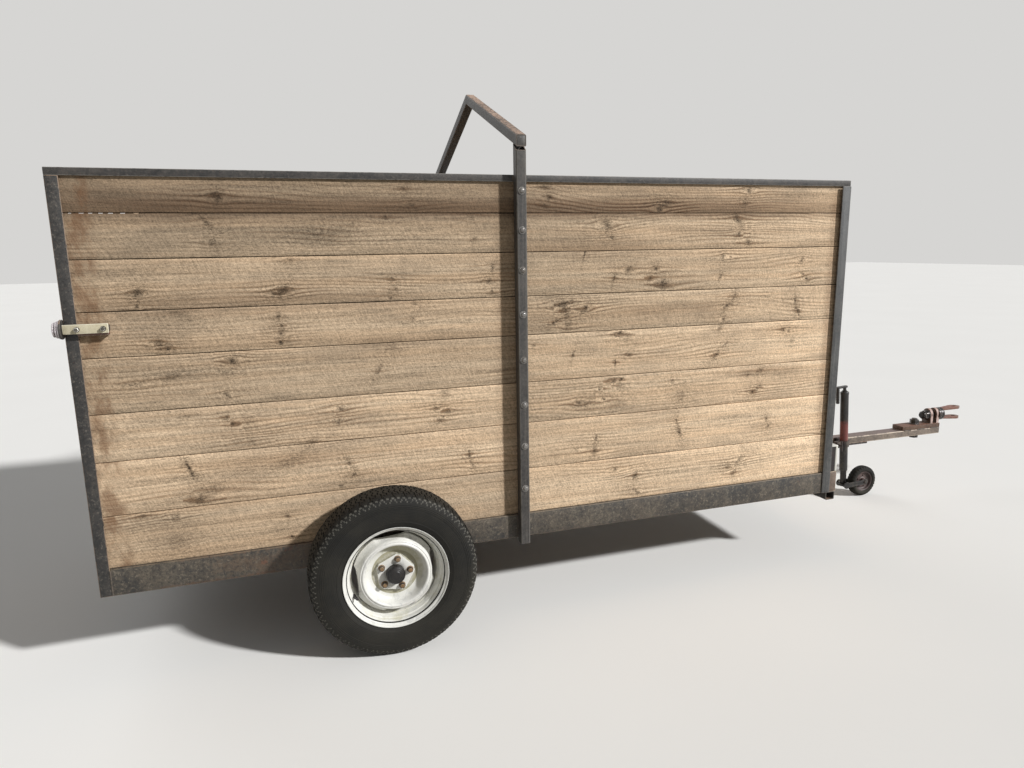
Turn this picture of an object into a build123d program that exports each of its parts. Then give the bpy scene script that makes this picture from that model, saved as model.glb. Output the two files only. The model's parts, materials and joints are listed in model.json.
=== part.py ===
from build123d import *
from math import atan, cos, degrees, pi, radians, sin, tan
import os

os.makedirs("parts", exist_ok=True)

# A single-axle animal transport trailer, in millimetres.
# X points forward to the hitch, Y to the left, Z up. Stations x are counted from the
# rear face of the body, heights z from the ground, and depths d inward from the outer
# face of the right-hand side frame. The finished model is moved so that its origin
# lies on the ground under the middle of its bounding box.

# Body
BODY_LENGTH = 3120.0
BODY_WIDTH = 1340.0
BODY_HEIGHT = 1450.0
FRAME_CLEARANCE = 310.0
HALF = BODY_WIDTH / 2
FRAME_Z = FRAME_CLEARANCE
TOP_Z = FRAME_Z + BODY_HEIGHT
CONTACT = 0.3

# Bottom frame
RAIL_HEIGHT = 100.0
RAIL_FLANGE = 50.0
RAIL_WEB = 5.0
RAIL_FLANGE_THICK = 6.0
SILL_WALL = 4.0
CROSS_WIDTH = 50.0
CROSS_WALL = 3.0
CROSS_COUNT = 7
CROSS_REAR_INSET = 330.0
CROSS_FRONT_INSET = 90.0
TUBE_CORNER = 5.0
FRONT_RAIL_DEPTH = 40.0
UNDER_TUBE_WIDTH = 50.0
UNDER_TUBE_HEIGHT = 40.0
UNDER_TUBE_BACK = 15.0
UNDER_TUBE_WALL = 3.0
FLOOR_THICK = 30.0
PLANK_COUNT = 8
PLANK_GAP = 4.0
FLOOR_Z = FRAME_Z + RAIL_HEIGHT

# Corner posts and top rails, angle sections
REAR_LEG = 40.0
REAR_ANGLE_THICK = 4.0
FRONT_LEG = 45.0
FRONT_ANGLE_THICK = 5.0
TOP_LIP = 25.0
TOP_FLANGE = 45.0
TOP_THICK = 4.0

# Wall boards: their widths from the bottom rail up; the last one is ripped to what is left
BOARD_THICK = 28.0
BOARD_RECESS = 10.0
BOARD_GAP = 2.0
BOARD_WIDTHS = (190.0, 193.0, 167.0, 191.0, 153.0, 170.0, 147.0, 170.0)
NARROWEST_BOARD = 40.0
INNER_BAR_WIDTH = 60.0
INNER_BAR_THICK = 6.0

# Hoop over the load space
HOOP_TUBE = 40.0
HOOP_WALL = 3.0
HOOP_X = BODY_LENGTH / 2
HOOP_FOOT_DROP = 15.0
HOOP_EAVE = 140.0
HOOP_SLOPE = 21.2
NOTCH_OPENING = 14.0

# Axle and wheels: 14 inch rims on a straight beam with raised spindles
AXLE_X = 1005.0
AXLE_BEAM = 60.0
AXLE_WALL = 5.0
BRACKET_LEG = 50.0
BRACKET_THICK = 6.0
TYRE_OD = 625.0
TYRE_WIDTH = 172.0
TYRE_CROWN = 16.0
TYRE_WALL = 11.0
RIM_LIP_R = 195.0
RIM_SEAT_R = 178.0
RIM_WELL_R = 158.0
RIM_WIDTH = 162.0
RIM_OUTER_FACE = 205.0
RIM_THICK = 4.0
DISC_FACE = 160.0
WHEEL_PCD = 112.0
WHEEL_BOLTS = 5
BOLT_HEX = 19.0
BOLT_R = 6.5
BOLT_START = 79.0
WINDOW_START = 5.0
WINDOW_COUNT = 4
WINDOW_ANGLE = 42.0
WINDOW_R = 143.0
PAD_CORNER_R = 79.0
PAD_RISE = 9.0
PAD_TAPER = 24.0
HUB_BORE_R = 33.5
HUB_BODY_R = 42.0
HUB_BACK = 74.0
HUB_FLANGE_THICK = 12.0
CAP_R = 34.0
CAP_HEIGHT = 31.0
SPINDLE_R = 20.0
SPINDLE_PLATE = 12.0
SPINDLE_PLATE_WIDTH = 90.0
SPINDLE_PLATE_GAP = 6.0
SPINDLE_LENGTH = 138.0
SPINDLE_SHOULDER = 70.0
SPINDLE_SHOULDER_R = 29.0
RUN_CLEARANCE = 0.06
AXLE_Z = TYRE_OD / 2

# Drawbar and hitch
DRAWBAR_WIDTH = 80.0
DRAWBAR_HEIGHT = 40.0
DRAWBAR_WALL = 4.0
DRAWBAR_REACH = 1410.0
HITCH_BAR_LENGTH = 290.0
HITCH_BAR_THICK = 25.0
HITCH_BOLT_R = 15.0
HITCH_BOLT_BACK = 162.0
HITCH_BOLT_HEX = 46.0
SWIVEL_R = 21.0
SWIVEL_HEIGHT = 50.0
LUG_THICK = 18.0
LUG_PITCH = 48.0
LUG_BACK = 82.0
CLEVIS_PLATE = 25.0
CLEVIS_GAP = 60.0
PRONG_THICK = 18.0
PRONG_REACH = 107.0
HITCH_PIN_R = 15.0
HITCH_HALF = DRAWBAR_WIDTH / 2

# Jockey stand beside the drawbar
JOCKEY_X = 3750.0
JOCKEY_Y = -86.0
JOCKEY_TILT = 4.0
JOCKEY_TUBE_R = 30.0
JOCKEY_TUBE_WALL = 4.0
JOCKEY_STEM_R = 24.0
JOCKEY_TOP = 312.0
JOCKEY_FOOT = -165.0
JOCKEY_CROWN = -247.0
JOCKEY_TRAIL = 134.0
JOCKEY_WHEEL_OD = 180.0
JOCKEY_WHEEL_WIDTH = 50.0
JOCKEY_ARM_THICK = 5.0
JOCKEY_ARM_GAP = 4.0
JOCKEY_PIN_R = 8.0
JOCKEY_GUIDE = 15.0
CRANK_REACH = 48.0
CRANK_GRIP = 66.0
CLAMP_HEIGHT = 35.0
CLAMP_WALL = 8.0
CLAMP_PLATE = 6.0
CLAMP_PLATE_WIDTH = 70.0
CLAMP_LEVER = 220.0

# Drop gate at the rear, hinged at the sill
GATE_HEIGHT = 890.0
GATE_SIDE_GAP = 6.0
GATE_SILL_GAP = 6.0
GATE_BACK = -0.5
GATE_LEG = 30.0
GATE_THICK = 4.0
GATE_BOARD_THICK = 22.0
GATE_BOARD_COUNT = 6
GATE_BOARD_GAP = 3.0
CLEAT_WIDTH = 40.0
CLEAT_THICK = 25.0
CLEAT_COUNT = 5
HINGE_BARREL_R = 12.0
HINGE_PIN_R = 7.0
HINGE_LENGTH = 120.0
HINGE_INSET = 154.0
HINGE_LEAF = 40.0

# Gate latch on each side wall
LATCH_DROP = 53.0
STRAP_LENGTH = 134.0
STRAP_WIDTH = 31.0
STRAP_THICK = 6.0
LATCH_BAR = 20.0
LATCH_SCREW_R = 6.0
LATCH_SCREW_CLEARANCE = 1.0
LATCH_LUG_R = 32.0
LATCH_LUG_THICK = 6.0

# Front marker lamps
MARKER_HEIGHT = 122.0
MARKER_WIDTH = 55.0
MARKER_DEPTH = 28.0
LENS_THICK = 14.0

# Values worked out from the dimensions above
FRONT_X = BODY_LENGTH
DRAWBAR_FRONT = FRONT_X + DRAWBAR_REACH
DRAWBAR_Z = FRAME_Z + DRAWBAR_HEIGHT
CROSS_HEIGHT = RAIL_HEIGHT - FLOOR_THICK - DRAWBAR_HEIGHT
HITCH_BAR_TOP = DRAWBAR_Z + HITCH_BAR_THICK
SWIVEL_Z = HITCH_BAR_TOP + SWIVEL_HEIGHT
CLEVIS_BACK = DRAWBAR_FRONT + 15.0
CLEVIS_FACE = CLEVIS_BACK + CLEVIS_PLATE
HITCH_PIN_X = CLEVIS_FACE + PRONG_REACH
HITCH_TIP = HITCH_PIN_X + HITCH_HALF
JOCKEY_Z = FRAME_Z + 25.0
JOCKEY_HUB_Z = JOCKEY_WHEEL_OD / 2
LATCH_KNOB_REAR = GATE_BACK - LATCH_LUG_THICK - 24.0
X_MIDDLE = (LATCH_KNOB_REAR + HITCH_TIP) / 2
GATE_BOTTOM = FLOOR_Z + GATE_SILL_GAP
GATE_HALF = HALF - REAR_LEG - GATE_SIDE_GAP
HINGE_X = GATE_BACK - HINGE_BARREL_R
HINGE_Z = FLOOR_Z - 2.0
HINGE_PLACES = (HINGE_INSET - GATE_HALF, 0.0, GATE_HALF - HINGE_INSET)
LATCH_Z = GATE_BOTTOM + GATE_HEIGHT - LATCH_DROP


def block(x, y, z):
    """A box between two stations, two widths and two heights, each given as a pair."""
    size = (x[1] - x[0], y[1] - y[0], z[1] - z[0])
    middle = ((x[0] + x[1]) / 2, (y[0] + y[1]) / 2, (z[0] + z[1]) / 2)
    return Pos(*middle) * Box(*size)


def tube_section(width, height, wall):
    """Section of a drawn rectangular tube with rounded corners, about its centre."""
    inner = RectangleRounded(width - 2 * wall, height - 2 * wall, TUBE_CORNER - wall / 2)
    return RectangleRounded(width, height, TUBE_CORNER) - inner


def tube_x(x, y, z, wall):
    """A rectangular tube along X with open ends."""
    place = Plane((x[0], (y[0] + y[1]) / 2, (z[0] + z[1]) / 2), x_dir=(0, 1, 0), z_dir=(1, 0, 0))
    return extrude(place * tube_section(y[1] - y[0], z[1] - z[0], wall), x[1] - x[0])


def tube_y(x, y, z, wall):
    """A rectangular tube along Y with open ends."""
    place = Plane(((x[0] + x[1]) / 2, y[0], (z[0] + z[1]) / 2), x_dir=(1, 0, 0), z_dir=(0, 1, 0))
    return extrude(place * tube_section(x[1] - x[0], z[1] - z[0], wall), y[1] - y[0])


def depth(d):
    """Y of a point d inward from the outer face of the right-hand frame."""
    return -HALF + d


def rod(radius, start, end, axis):
    """A round rod along one axis; start and end are given along it, centred on the axis."""
    turn = {"x": Rot(0, 90, 0), "y": Rot(-90, 0, 0), "z": Rot(0, 0, 0)}[axis]
    centre = (start + end) / 2
    return turn * Pos(0, 0, centre) * Cylinder(radius, end - start)


def hexagon(across_flats, start, end):
    """A hexagonal prism along Z."""
    face = RegularPolygon(across_flats / 2, 6, major_radius=False)
    return Pos(0, 0, start) * extrude(face, end - start)


def ribbon(points, thick):
    """A closed outline: the open path of points and the same path moved by a thickness.

    The move is square to each stretch, with mitred corners.
    """
    path = [Vector(a, b) for a, b in points]
    moved = []
    for i, point in enumerate(path):
        before = (point - path[i - 1]).normalized() if i else None
        after = (path[i + 1] - point).normalized() if i + 1 < len(path) else None
        along = before or after
        if before and after:
            along = (before + after).normalized()
        normal = Vector(-along.Y, along.X)
        spread = 1.0
        if before:
            spread = normal.dot(Vector(-before.Y, before.X))
        moved.append(point + normal * (thick / spread))
    outline = path + moved[::-1]
    return Polyline(*[(p.X, p.Y) for p in outline], close=True)


def turned(points):
    """A solid of revolution about Z from (radius, height) points."""
    profile = Plane.XZ * make_face(Polyline(*points, close=True))
    return revolve(profile, Axis.Z, 360)


def turned_ribbon(points, thick):
    """A thin-walled solid of revolution about Z from a (radius, height) path."""
    profile = Plane.XZ * make_face(ribbon(points, thick))
    return revolve(profile, Axis.Z, 360)


def mirrored(shape):
    """The same piece on the left-hand side."""
    return mirror(shape, about=Plane.XZ)


def both(shape):
    """A right-hand piece and its left-hand twin."""
    return [shape, mirrored(shape)]


def save(node, *pieces):
    """Write one node's solids, moved to the model's origin."""
    solids = []
    for piece in pieces:
        solids += [Pos(-X_MIDDLE, 0, 0) * solid for solid in piece.solids()]
    export_step(Compound(label=node, children=solids), f"parts/{node}.step")


def side_rail():
    """Channel along the bottom of the right side, its web outward."""
    x = (REAR_LEG, FRONT_X - FRONT_ANGLE_THICK)
    z = (FRAME_Z, FLOOR_Z)
    inside_z = (z[0] + RAIL_FLANGE_THICK, z[1] - RAIL_FLANGE_THICK)
    hollow = block(x, (depth(RAIL_WEB), depth(RAIL_FLANGE)), inside_z)
    return block(x, (depth(0), depth(RAIL_FLANGE)), z) - hollow


def bottom_frame():
    """Side rails, sill, cross members, front rail and the tube under it."""
    save("side_rails", *both(side_rail()))
    sill_half = HALF - REAR_ANGLE_THICK
    sill = tube_y(
        (REAR_ANGLE_THICK, REAR_LEG), (-sill_half, sill_half), (FRAME_Z, FLOOR_Z), SILL_WALL
    )
    save("rear_sill", sill)
    half = HALF - RAIL_WEB
    z = (DRAWBAR_Z, DRAWBAR_Z + CROSS_HEIGHT)
    members = []
    first = CROSS_REAR_INSET
    pitch = (BODY_LENGTH - CROSS_FRONT_INSET - first) / (CROSS_COUNT - 1)
    for i in range(CROSS_COUNT):
        x = first + i * pitch
        span = (x - CROSS_WIDTH / 2, x + CROSS_WIDTH / 2)
        members.append(tube_y(span, (-half, half), z, CROSS_WALL))
    save("cross_members", *members)
    x = (FRONT_X, FRONT_X + FRONT_RAIL_DEPTH)
    rail = block(x, (-HALF, HALF), (FRAME_Z, FLOOR_Z))
    rail -= block(
        (x[0] + SILL_WALL, x[1] - SILL_WALL),
        (-HALF + SILL_WALL, HALF - SILL_WALL),
        (FRAME_Z + SILL_WALL, FLOOR_Z - SILL_WALL),
    )
    rail -= block(x, (-HITCH_HALF, HITCH_HALF), (FRAME_Z, DRAWBAR_Z))
    save("front_cross_rail", rail)
    x = (FRONT_X - UNDER_TUBE_BACK, FRONT_X - UNDER_TUBE_BACK + UNDER_TUBE_WIDTH)
    z = (FRAME_Z - UNDER_TUBE_HEIGHT, FRAME_Z)
    save("front_under_tube", tube_y(x, (-HALF, HALF), z, UNDER_TUBE_WALL))


def floor():
    """Loose planks laid along the floor between the side rails."""
    half = HALF - RAIL_FLANGE
    pitch = (2 * half + PLANK_GAP) / PLANK_COUNT
    x = (REAR_LEG + CONTACT, FRONT_X - FRONT_ANGLE_THICK - BOARD_THICK - 2 * CONTACT)
    planks = []
    for i in range(PLANK_COUNT):
        left = -half + i * pitch
        planks.append(block(x, (left, left + pitch - PLANK_GAP), (FLOOR_Z - FLOOR_THICK, FLOOR_Z)))
    save("floor_planks", *planks)


def corner_posts():
    """Angle posts at the four corners; the front ones lap over the side rails."""
    z = (FRAME_Z, TOP_Z - TOP_LIP)
    rear = block((0, REAR_LEG), (depth(0), depth(REAR_LEG)), z)
    rear -= block((REAR_ANGLE_THICK, REAR_LEG), (depth(REAR_ANGLE_THICK), depth(REAR_LEG)), z)
    outer = depth(-FRONT_ANGLE_THICK)
    back = FRONT_X - FRONT_LEG
    front = block((back, FRONT_X), (outer, outer + FRONT_LEG), z)
    front -= block((back, FRONT_X - FRONT_ANGLE_THICK), (depth(0), outer + FRONT_LEG), z)
    save("corner_posts", *both(rear), *both(front))


def top_rails():
    """Angles that cap the side walls and the front wall."""
    z = (TOP_Z - TOP_LIP, TOP_Z)
    under = (z[0], TOP_Z - TOP_THICK)
    side = block((0, FRONT_X), (depth(0), depth(TOP_FLANGE)), z)
    side -= block((0, FRONT_X), (depth(TOP_THICK), depth(TOP_FLANGE)), under)
    end = HALF - TOP_FLANGE - CONTACT
    back = FRONT_X - TOP_FLANGE
    front = block((back, FRONT_X), (-end, end), z)
    front -= block((back, FRONT_X - TOP_THICK), (-end, end), under)
    save("top_rails", *both(side), front)


def board_levels():
    """Bottom and top height of each wall board, laid from the bottom rail up."""
    top = TOP_Z - TOP_THICK - CONTACT
    levels = []
    low = FLOOR_Z
    while top - low > 0:
        high = low + BOARD_WIDTHS[len(levels) % len(BOARD_WIDTHS)]
        if top - high < NARROWEST_BOARD:
            high = top + BOARD_GAP
        levels.append((low, high - BOARD_GAP))
        low = high
    return levels


def wall_boards():
    """Horizontal boards: a rear and a front set on each side, and a set across the front."""
    y = (depth(BOARD_RECESS), depth(BOARD_RECESS + BOARD_THICK))
    front_inner = FRONT_X - FRONT_ANGLE_THICK - CONTACT - BOARD_THICK
    sets = (
        # name, start station, end station
        ("rear", REAR_ANGLE_THICK + CONTACT, HOOP_X - BOARD_GAP),
        ("front", HOOP_X + BOARD_GAP, front_inner - CONTACT),
    )
    for name, start, end in sets:
        boards = [block((start, end), y, z) for z in board_levels()]
        save(f"right_boards_{name}", *boards)
        save(f"left_boards_{name}", *[mirrored(board) for board in boards])
    x = (front_inner, front_inner + BOARD_THICK)
    end = HALF - BOARD_RECESS
    save("front_boards", *[block(x, (-end, end), z) for z in board_levels()])
    x = (HOOP_X - INNER_BAR_WIDTH / 2, HOOP_X + INNER_BAR_WIDTH / 2)
    inner = (y[1], y[1] + INNER_BAR_THICK)
    bar = block(x, inner, (FLOOR_Z, TOP_Z - TOP_THICK))
    save("inner_wall_bars", *both(bar))


def hoop():
    """Square-tube hoop outside the walls; each post is sawn at the top and folded inward."""
    slope = radians(HOOP_SLOPE)
    rise = tan(slope)
    outer = depth(-HOOP_TUBE)
    eave = TOP_Z + HOOP_EAVE
    deep = HOOP_TUBE / cos(slope)
    side = (HOOP_X - HOOP_TUBE / 2, HOOP_X + HOOP_TUBE / 2)
    section = tube_section(HOOP_TUBE, HOOP_TUBE, HOOP_WALL)

    middle = Plane(
        (HOOP_X, outer, eave - deep / 2), x_dir=(1, 0, 0), z_dir=(0, cos(slope), sin(slope))
    )
    reach = (HALF + HOOP_TUBE) / cos(slope)
    beam = extrude(middle * section, reach + HOOP_TUBE)
    beam += extrude(middle * section, -HOOP_TUBE)
    beam &= block(side, (outer, -CONTACT / 2), (eave - deep - 1, eave + reach))
    save("hoop_rafters", *both(beam))

    foot = FRAME_Z - HOOP_FOOT_DROP
    fold = eave - deep + HOOP_TUBE * rise
    base = Plane((HOOP_X, depth(-HOOP_TUBE / 2), foot))
    post = extrude(base * section, eave - foot)
    mouth = (
        # y and z along the saw cut, then round over the top
        (outer - 1, eave - deep - NOTCH_OPENING - (NOTCH_OPENING / HOOP_TUBE + rise)),
        (depth(0), fold),
        (depth(0), eave + 1),
        (outer - 1, eave + 1),
    )
    cut = make_face(Polyline(*[(side[0] - 1, y, z) for y, z in mouth], close=True))
    post -= extrude(cut, HOOP_TUBE + 2, dir=(1, 0, 0))
    save("hoop_posts", *both(post))


def running_gear():
    """Axle beam under the rails, its brackets and the raised spindles."""
    beam_half = HALF + SPINDLE_PLATE_GAP
    x = (AXLE_X - AXLE_BEAM / 2, AXLE_X + AXLE_BEAM / 2)
    z = (FRAME_Z - AXLE_BEAM, FRAME_Z)
    save("axle_beam", tube_y(x, (-beam_half, beam_half), z, AXLE_WALL))
    width = (depth(0), depth(RAIL_FLANGE))
    start = AXLE_X + AXLE_BEAM / 2
    upright = (start, start + BRACKET_THICK)
    front = block(upright, width, (FRAME_Z - BRACKET_LEG, FRAME_Z))
    front += block((start, start + BRACKET_LEG), width, (FRAME_Z - BRACKET_THICK, FRAME_Z))
    rear = mirror(front, about=Plane.YZ.offset(AXLE_X))
    save("axle_brackets", *both(rear), *both(front))
    plate_y = (-beam_half - SPINDLE_PLATE, -beam_half)
    side = SPINDLE_PLATE_WIDTH / 2
    plate = block(
        (AXLE_X - side, AXLE_X + side), plate_y, (FRAME_Z - AXLE_BEAM - 5, AXLE_Z + side)
    )
    corners = plate.edges().filter_by(Axis.Y).group_by(Axis.Z)[-1]
    plate = fillet(corners, side / 3)
    inner = HALF + SPINDLE_PLATE_GAP + SPINDLE_PLATE
    stub = rod(SPINDLE_R, inner, HALF + SPINDLE_LENGTH, "y")
    shoulder = rod(SPINDLE_SHOULDER_R, inner, HALF + SPINDLE_SHOULDER, "y")
    stub = Pos(AXLE_X, 0, AXLE_Z) * Rot(0, 0, 180) * (stub + shoulder)
    save("spindles", *both(plate + stub))


def at_wheel(shape):
    """Turn a piece built along Z, outward from the wall face, onto the right-hand wheel."""
    return Pos(AXLE_X, -HALF, AXLE_Z) * Rot(90, 0, 0) * shape


def rim():
    """Steel wheel: a drop-centre rim and a pressed disc with four crescent openings."""
    inner = RIM_OUTER_FACE - RIM_WIDTH
    outer = RIM_OUTER_FACE
    band = turned_ribbon(
        (
            (RIM_LIP_R, inner),
            (RIM_LIP_R - 3, inner + 6),
            (RIM_SEAT_R, inner + 11),
            (RIM_SEAT_R, inner + 36),
            (RIM_WELL_R, inner + 48),
            (RIM_WELL_R, inner + 88),
            (RIM_SEAT_R, outer - 38),
            (RIM_SEAT_R, outer - 11),
            (RIM_LIP_R - 3, outer - 6),
            (RIM_LIP_R, outer),
        ),
        RIM_THICK,
    )
    weld_r = RIM_WELL_R - RIM_THICK
    floor_z = DISC_FACE - PAD_RISE
    disc = turned_ribbon(
        (
            (HUB_BORE_R, floor_z),
            (98, floor_z),
            (106, floor_z + 6),
            (114, floor_z + 30),
            (120, floor_z + 34),
            (129, floor_z + 32),
            (WINDOW_R - 4, floor_z + 16),
            (weld_r, floor_z + 1),
            (weld_r, floor_z - 19),
        ),
        -RIM_THICK,
    )
    pad = extrude(Pos(0, 0, floor_z - 1) * pad_outline(PAD_CORNER_R + 4), PAD_RISE + 1, taper=PAD_TAPER)
    under = pad_outline(PAD_CORNER_R + 4 - RIM_THICK * 1.2)
    hollow = extrude(Pos(0, 0, floor_z - RIM_THICK) * under, PAD_RISE, taper=PAD_TAPER)
    disc = disc + pad - hollow
    disc -= rod(HUB_BORE_R, floor_z - 10, DISC_FACE + 10, "z")

    window_ring = rod(weld_r + 1, floor_z - 5, DISC_FACE + 40, "z")
    window_ring -= rod(WINDOW_R, floor_z - 6, DISC_FACE + 41, "z")
    half = radians(WINDOW_ANGLE / 2)
    far = RIM_LIP_R + 10
    wedge = make_face(
        Polyline((0, 0), (far, -far * tan(half)), (far, far * tan(half)), close=True)
    )
    window = window_ring & extrude(wedge, DISC_FACE + 40)
    for i in range(WINDOW_COUNT):
        disc -= Rot(0, 0, WINDOW_START + i * 360 / WINDOW_COUNT) * window
    hole = rod(BOLT_R + 1, floor_z - 10, DISC_FACE + 10, "z")
    for place in bolt_places():
        disc -= place * hole
    return band + disc


def pad_outline(corner_r):
    """Rounded pentagon of the wheel's bolting pad, its corners at the bolts."""
    return Rot(0, 0, BOLT_START) * fillet(
        RegularPolygon(corner_r, WHEEL_BOLTS).vertices(), corner_r / 5
    )


def bolt_places():
    """Locations of the wheel bolts on their circle."""
    step = 360 / WHEEL_BOLTS
    turns = [Rot(0, 0, BOLT_START + i * step) for i in range(WHEEL_BOLTS)]
    return [turn * Pos(WHEEL_PCD / 2, 0, 0) for turn in turns]


def tyre():
    """Road tyre: beads on the rim seats, rounded sidewalls and a nearly flat tread."""
    middle = RIM_OUTER_FACE - RIM_WIDTH / 2
    half = TYRE_WIDTH / 2
    top = TYRE_OD / 2
    bead = RIM_SEAT_R + 0.2
    foot = RIM_WIDTH / 2 - 12
    outside = (
        # axial offset from the middle, radius
        (foot, bead),
        (foot + 4, bead + 13),
        (half - 3, bead + 32),
        (half, bead + 58),
        (half - 3, top - 42),
        (half - 13, top - 9),
        (half - 24, top - 2),
        (30, top),
    )
    inside = (
        (20, top - TYRE_CROWN),
        (half - 24, top - TYRE_CROWN - 8),
        (half - TYRE_WALL, bead + 60),
        (half - TYRE_WALL - 4, bead + 34),
        (foot - 14, bead + 2),
    )
    profile = [(r, middle + a) for a, r in outside]
    profile += [(r, middle - a) for a, r in reversed(outside)]
    profile += [(r, middle - a) for a, r in reversed(inside)]
    profile += [(r, middle + a) for a, r in inside]
    return turned(profile)


def hub():
    """Hub with its five-cornered flange behind the disc and the wheel bolts through it."""
    back = DISC_FACE - RIM_THICK
    root = back - HUB_FLANGE_THICK
    nose = DISC_FACE + 6
    bore = SPINDLE_R + RUN_CLEARANCE
    body = turned(
        (
            (0, HUB_BACK),
            (HUB_BODY_R - 3, HUB_BACK),
            (HUB_BODY_R, HUB_BACK + 3),
            (HUB_BODY_R, root),
            (HUB_BODY_R + 6, root + 6),
            (HUB_BODY_R + 6, back - 1),
            (HUB_BORE_R - 0.3, back - 1),
            (HUB_BORE_R - 0.3, nose),
            (0, nose),
        )
    )
    body += extrude(Pos(0, 0, root) * pad_outline(PAD_CORNER_R - 8), HUB_FLANGE_THICK)
    body -= rod(bore, HUB_BACK - 1, SPINDLE_LENGTH + 2, "z")
    bolt = rod(BOLT_R, back - 1, DISC_FACE + 1, "z") + hexagon(BOLT_HEX, DISC_FACE, DISC_FACE + 12)
    for place in bolt_places():
        body += place * bolt
    return body


def hub_cap():
    """Domed grease cap over the hub nose."""
    base = DISC_FACE + 6
    crown = base + CAP_HEIGHT
    return turned(
        (
            (0, base),
            (CAP_R, base),
            (CAP_R, crown - 11),
            (CAP_R - 3, crown - 5),
            (CAP_R - 12, crown - 1),
            (0, crown),
        )
    )


def wheels():
    """Both road wheels."""
    pieces = (("tyre", tyre()), ("rim", rim()), ("hub", hub()), ("hub_cap", hub_cap()))
    for name, shape in pieces:
        placed = at_wheel(shape)
        save(f"{name}_right", placed)
        save(f"{name}_left", mirrored(placed))


def drawbar():
    """Rectangular tube from the axle to the hitch, with the hitch bar bolted on top."""
    bolt_x = DRAWBAR_FRONT - HITCH_BOLT_BACK
    y = (-HITCH_HALF, HITCH_HALF)
    x = (AXLE_X - AXLE_BEAM / 2, DRAWBAR_FRONT)
    hole = Pos(bolt_x, 0, 0) * rod(HITCH_BOLT_R + 0.5, FRAME_Z - 1, HITCH_BAR_TOP + 1, "z")
    save("drawbar", tube_x(x, y, (FRAME_Z, DRAWBAR_Z), DRAWBAR_WALL) - hole)

    bar = block((DRAWBAR_FRONT - HITCH_BAR_LENGTH, DRAWBAR_FRONT), y, (DRAWBAR_Z, HITCH_BAR_TOP))
    bore = rod(SWIVEL_R + RUN_CLEARANCE, -1, LUG_THICK + 1, "x")
    for i in range(2):
        lug = rod(HITCH_HALF, 0, LUG_THICK, "x")
        lug += block((0, LUG_THICK), y, (-SWIVEL_HEIGHT, 0))
        start = DRAWBAR_FRONT - LUG_BACK + i * LUG_PITCH
        bar += Pos(start, 0, SWIVEL_Z) * (lug - bore)
    save("hitch_bar", bar - hole)

    washer = rod(HITCH_BOLT_HEX * 0.62, HITCH_BAR_TOP, HITCH_BAR_TOP + 4, "z")
    nut = hexagon(HITCH_BOLT_HEX, HITCH_BAR_TOP + 4, HITCH_BAR_TOP + 28)
    head = hexagon(HITCH_BOLT_HEX, FRAME_Z - 19, FRAME_Z)
    shank = rod(HITCH_BOLT_R, FRAME_Z - 1, HITCH_BAR_TOP + 36, "z")
    save("hitch_bolt", Pos(bolt_x, 0, 0) * (washer + nut + head + shank))


def hitch():
    """Forked clevis that turns about the long axis, and its shaft."""
    half_height = CLEVIS_GAP / 2 + PRONG_THICK
    y = (-HITCH_HALF, HITCH_HALF)
    plate = block((CLEVIS_BACK, CLEVIS_FACE), y, (-half_height, half_height))
    prongs = (
        # low and high height from the swivel axis
        (CLEVIS_GAP / 2, half_height),
        (-half_height, -CLEVIS_GAP / 2),
    )
    for low, high in prongs:
        plate += block((CLEVIS_FACE, HITCH_PIN_X), y, (low, high))
        plate += Pos(HITCH_PIN_X, 0, 0) * rod(HITCH_HALF, low, high, "z")
    plate -= Pos(HITCH_PIN_X, 0, 0) * rod(HITCH_PIN_R, -half_height - 1, half_height + 1, "z")
    plate -= rod(SWIVEL_R, CLEVIS_BACK - 1, CLEVIS_FACE + 1, "x")
    save("clevis", Pos(0, 0, SWIVEL_Z) * plate)

    lug_back = DRAWBAR_FRONT - LUG_BACK
    lug_front = lug_back + LUG_PITCH + LUG_THICK
    nut_depth = 34.0
    washer_depth = 6.0
    nut_front = lug_back - CONTACT - washer_depth
    shaft = rod(SWIVEL_R, nut_front - nut_depth - 8, CLEVIS_FACE, "x")
    shaft += rod(36, nut_front, nut_front + washer_depth, "x")
    shaft += rod(30, lug_front + CONTACT, CLEVIS_BACK, "x")
    shaft += Rot(0, 90, 0) * hexagon(62.0, nut_front - nut_depth, nut_front)
    save("swivel_shaft", Pos(0, 0, SWIVEL_Z) * shaft)


def jockey_place(shape):
    """Put a piece built about the stand's own axis into the clamp, leaning with it."""
    return Pos(JOCKEY_X, JOCKEY_Y, JOCKEY_Z) * Rot(0, -JOCKEY_TILT, 0) * shape


def jockey_hub_x():
    """Station of the small wheel's axle, ahead of the leaning stem."""
    drop = JOCKEY_Z - JOCKEY_HUB_Z
    return JOCKEY_X + drop * tan(radians(JOCKEY_TILT)) + JOCKEY_TRAIL


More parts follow.
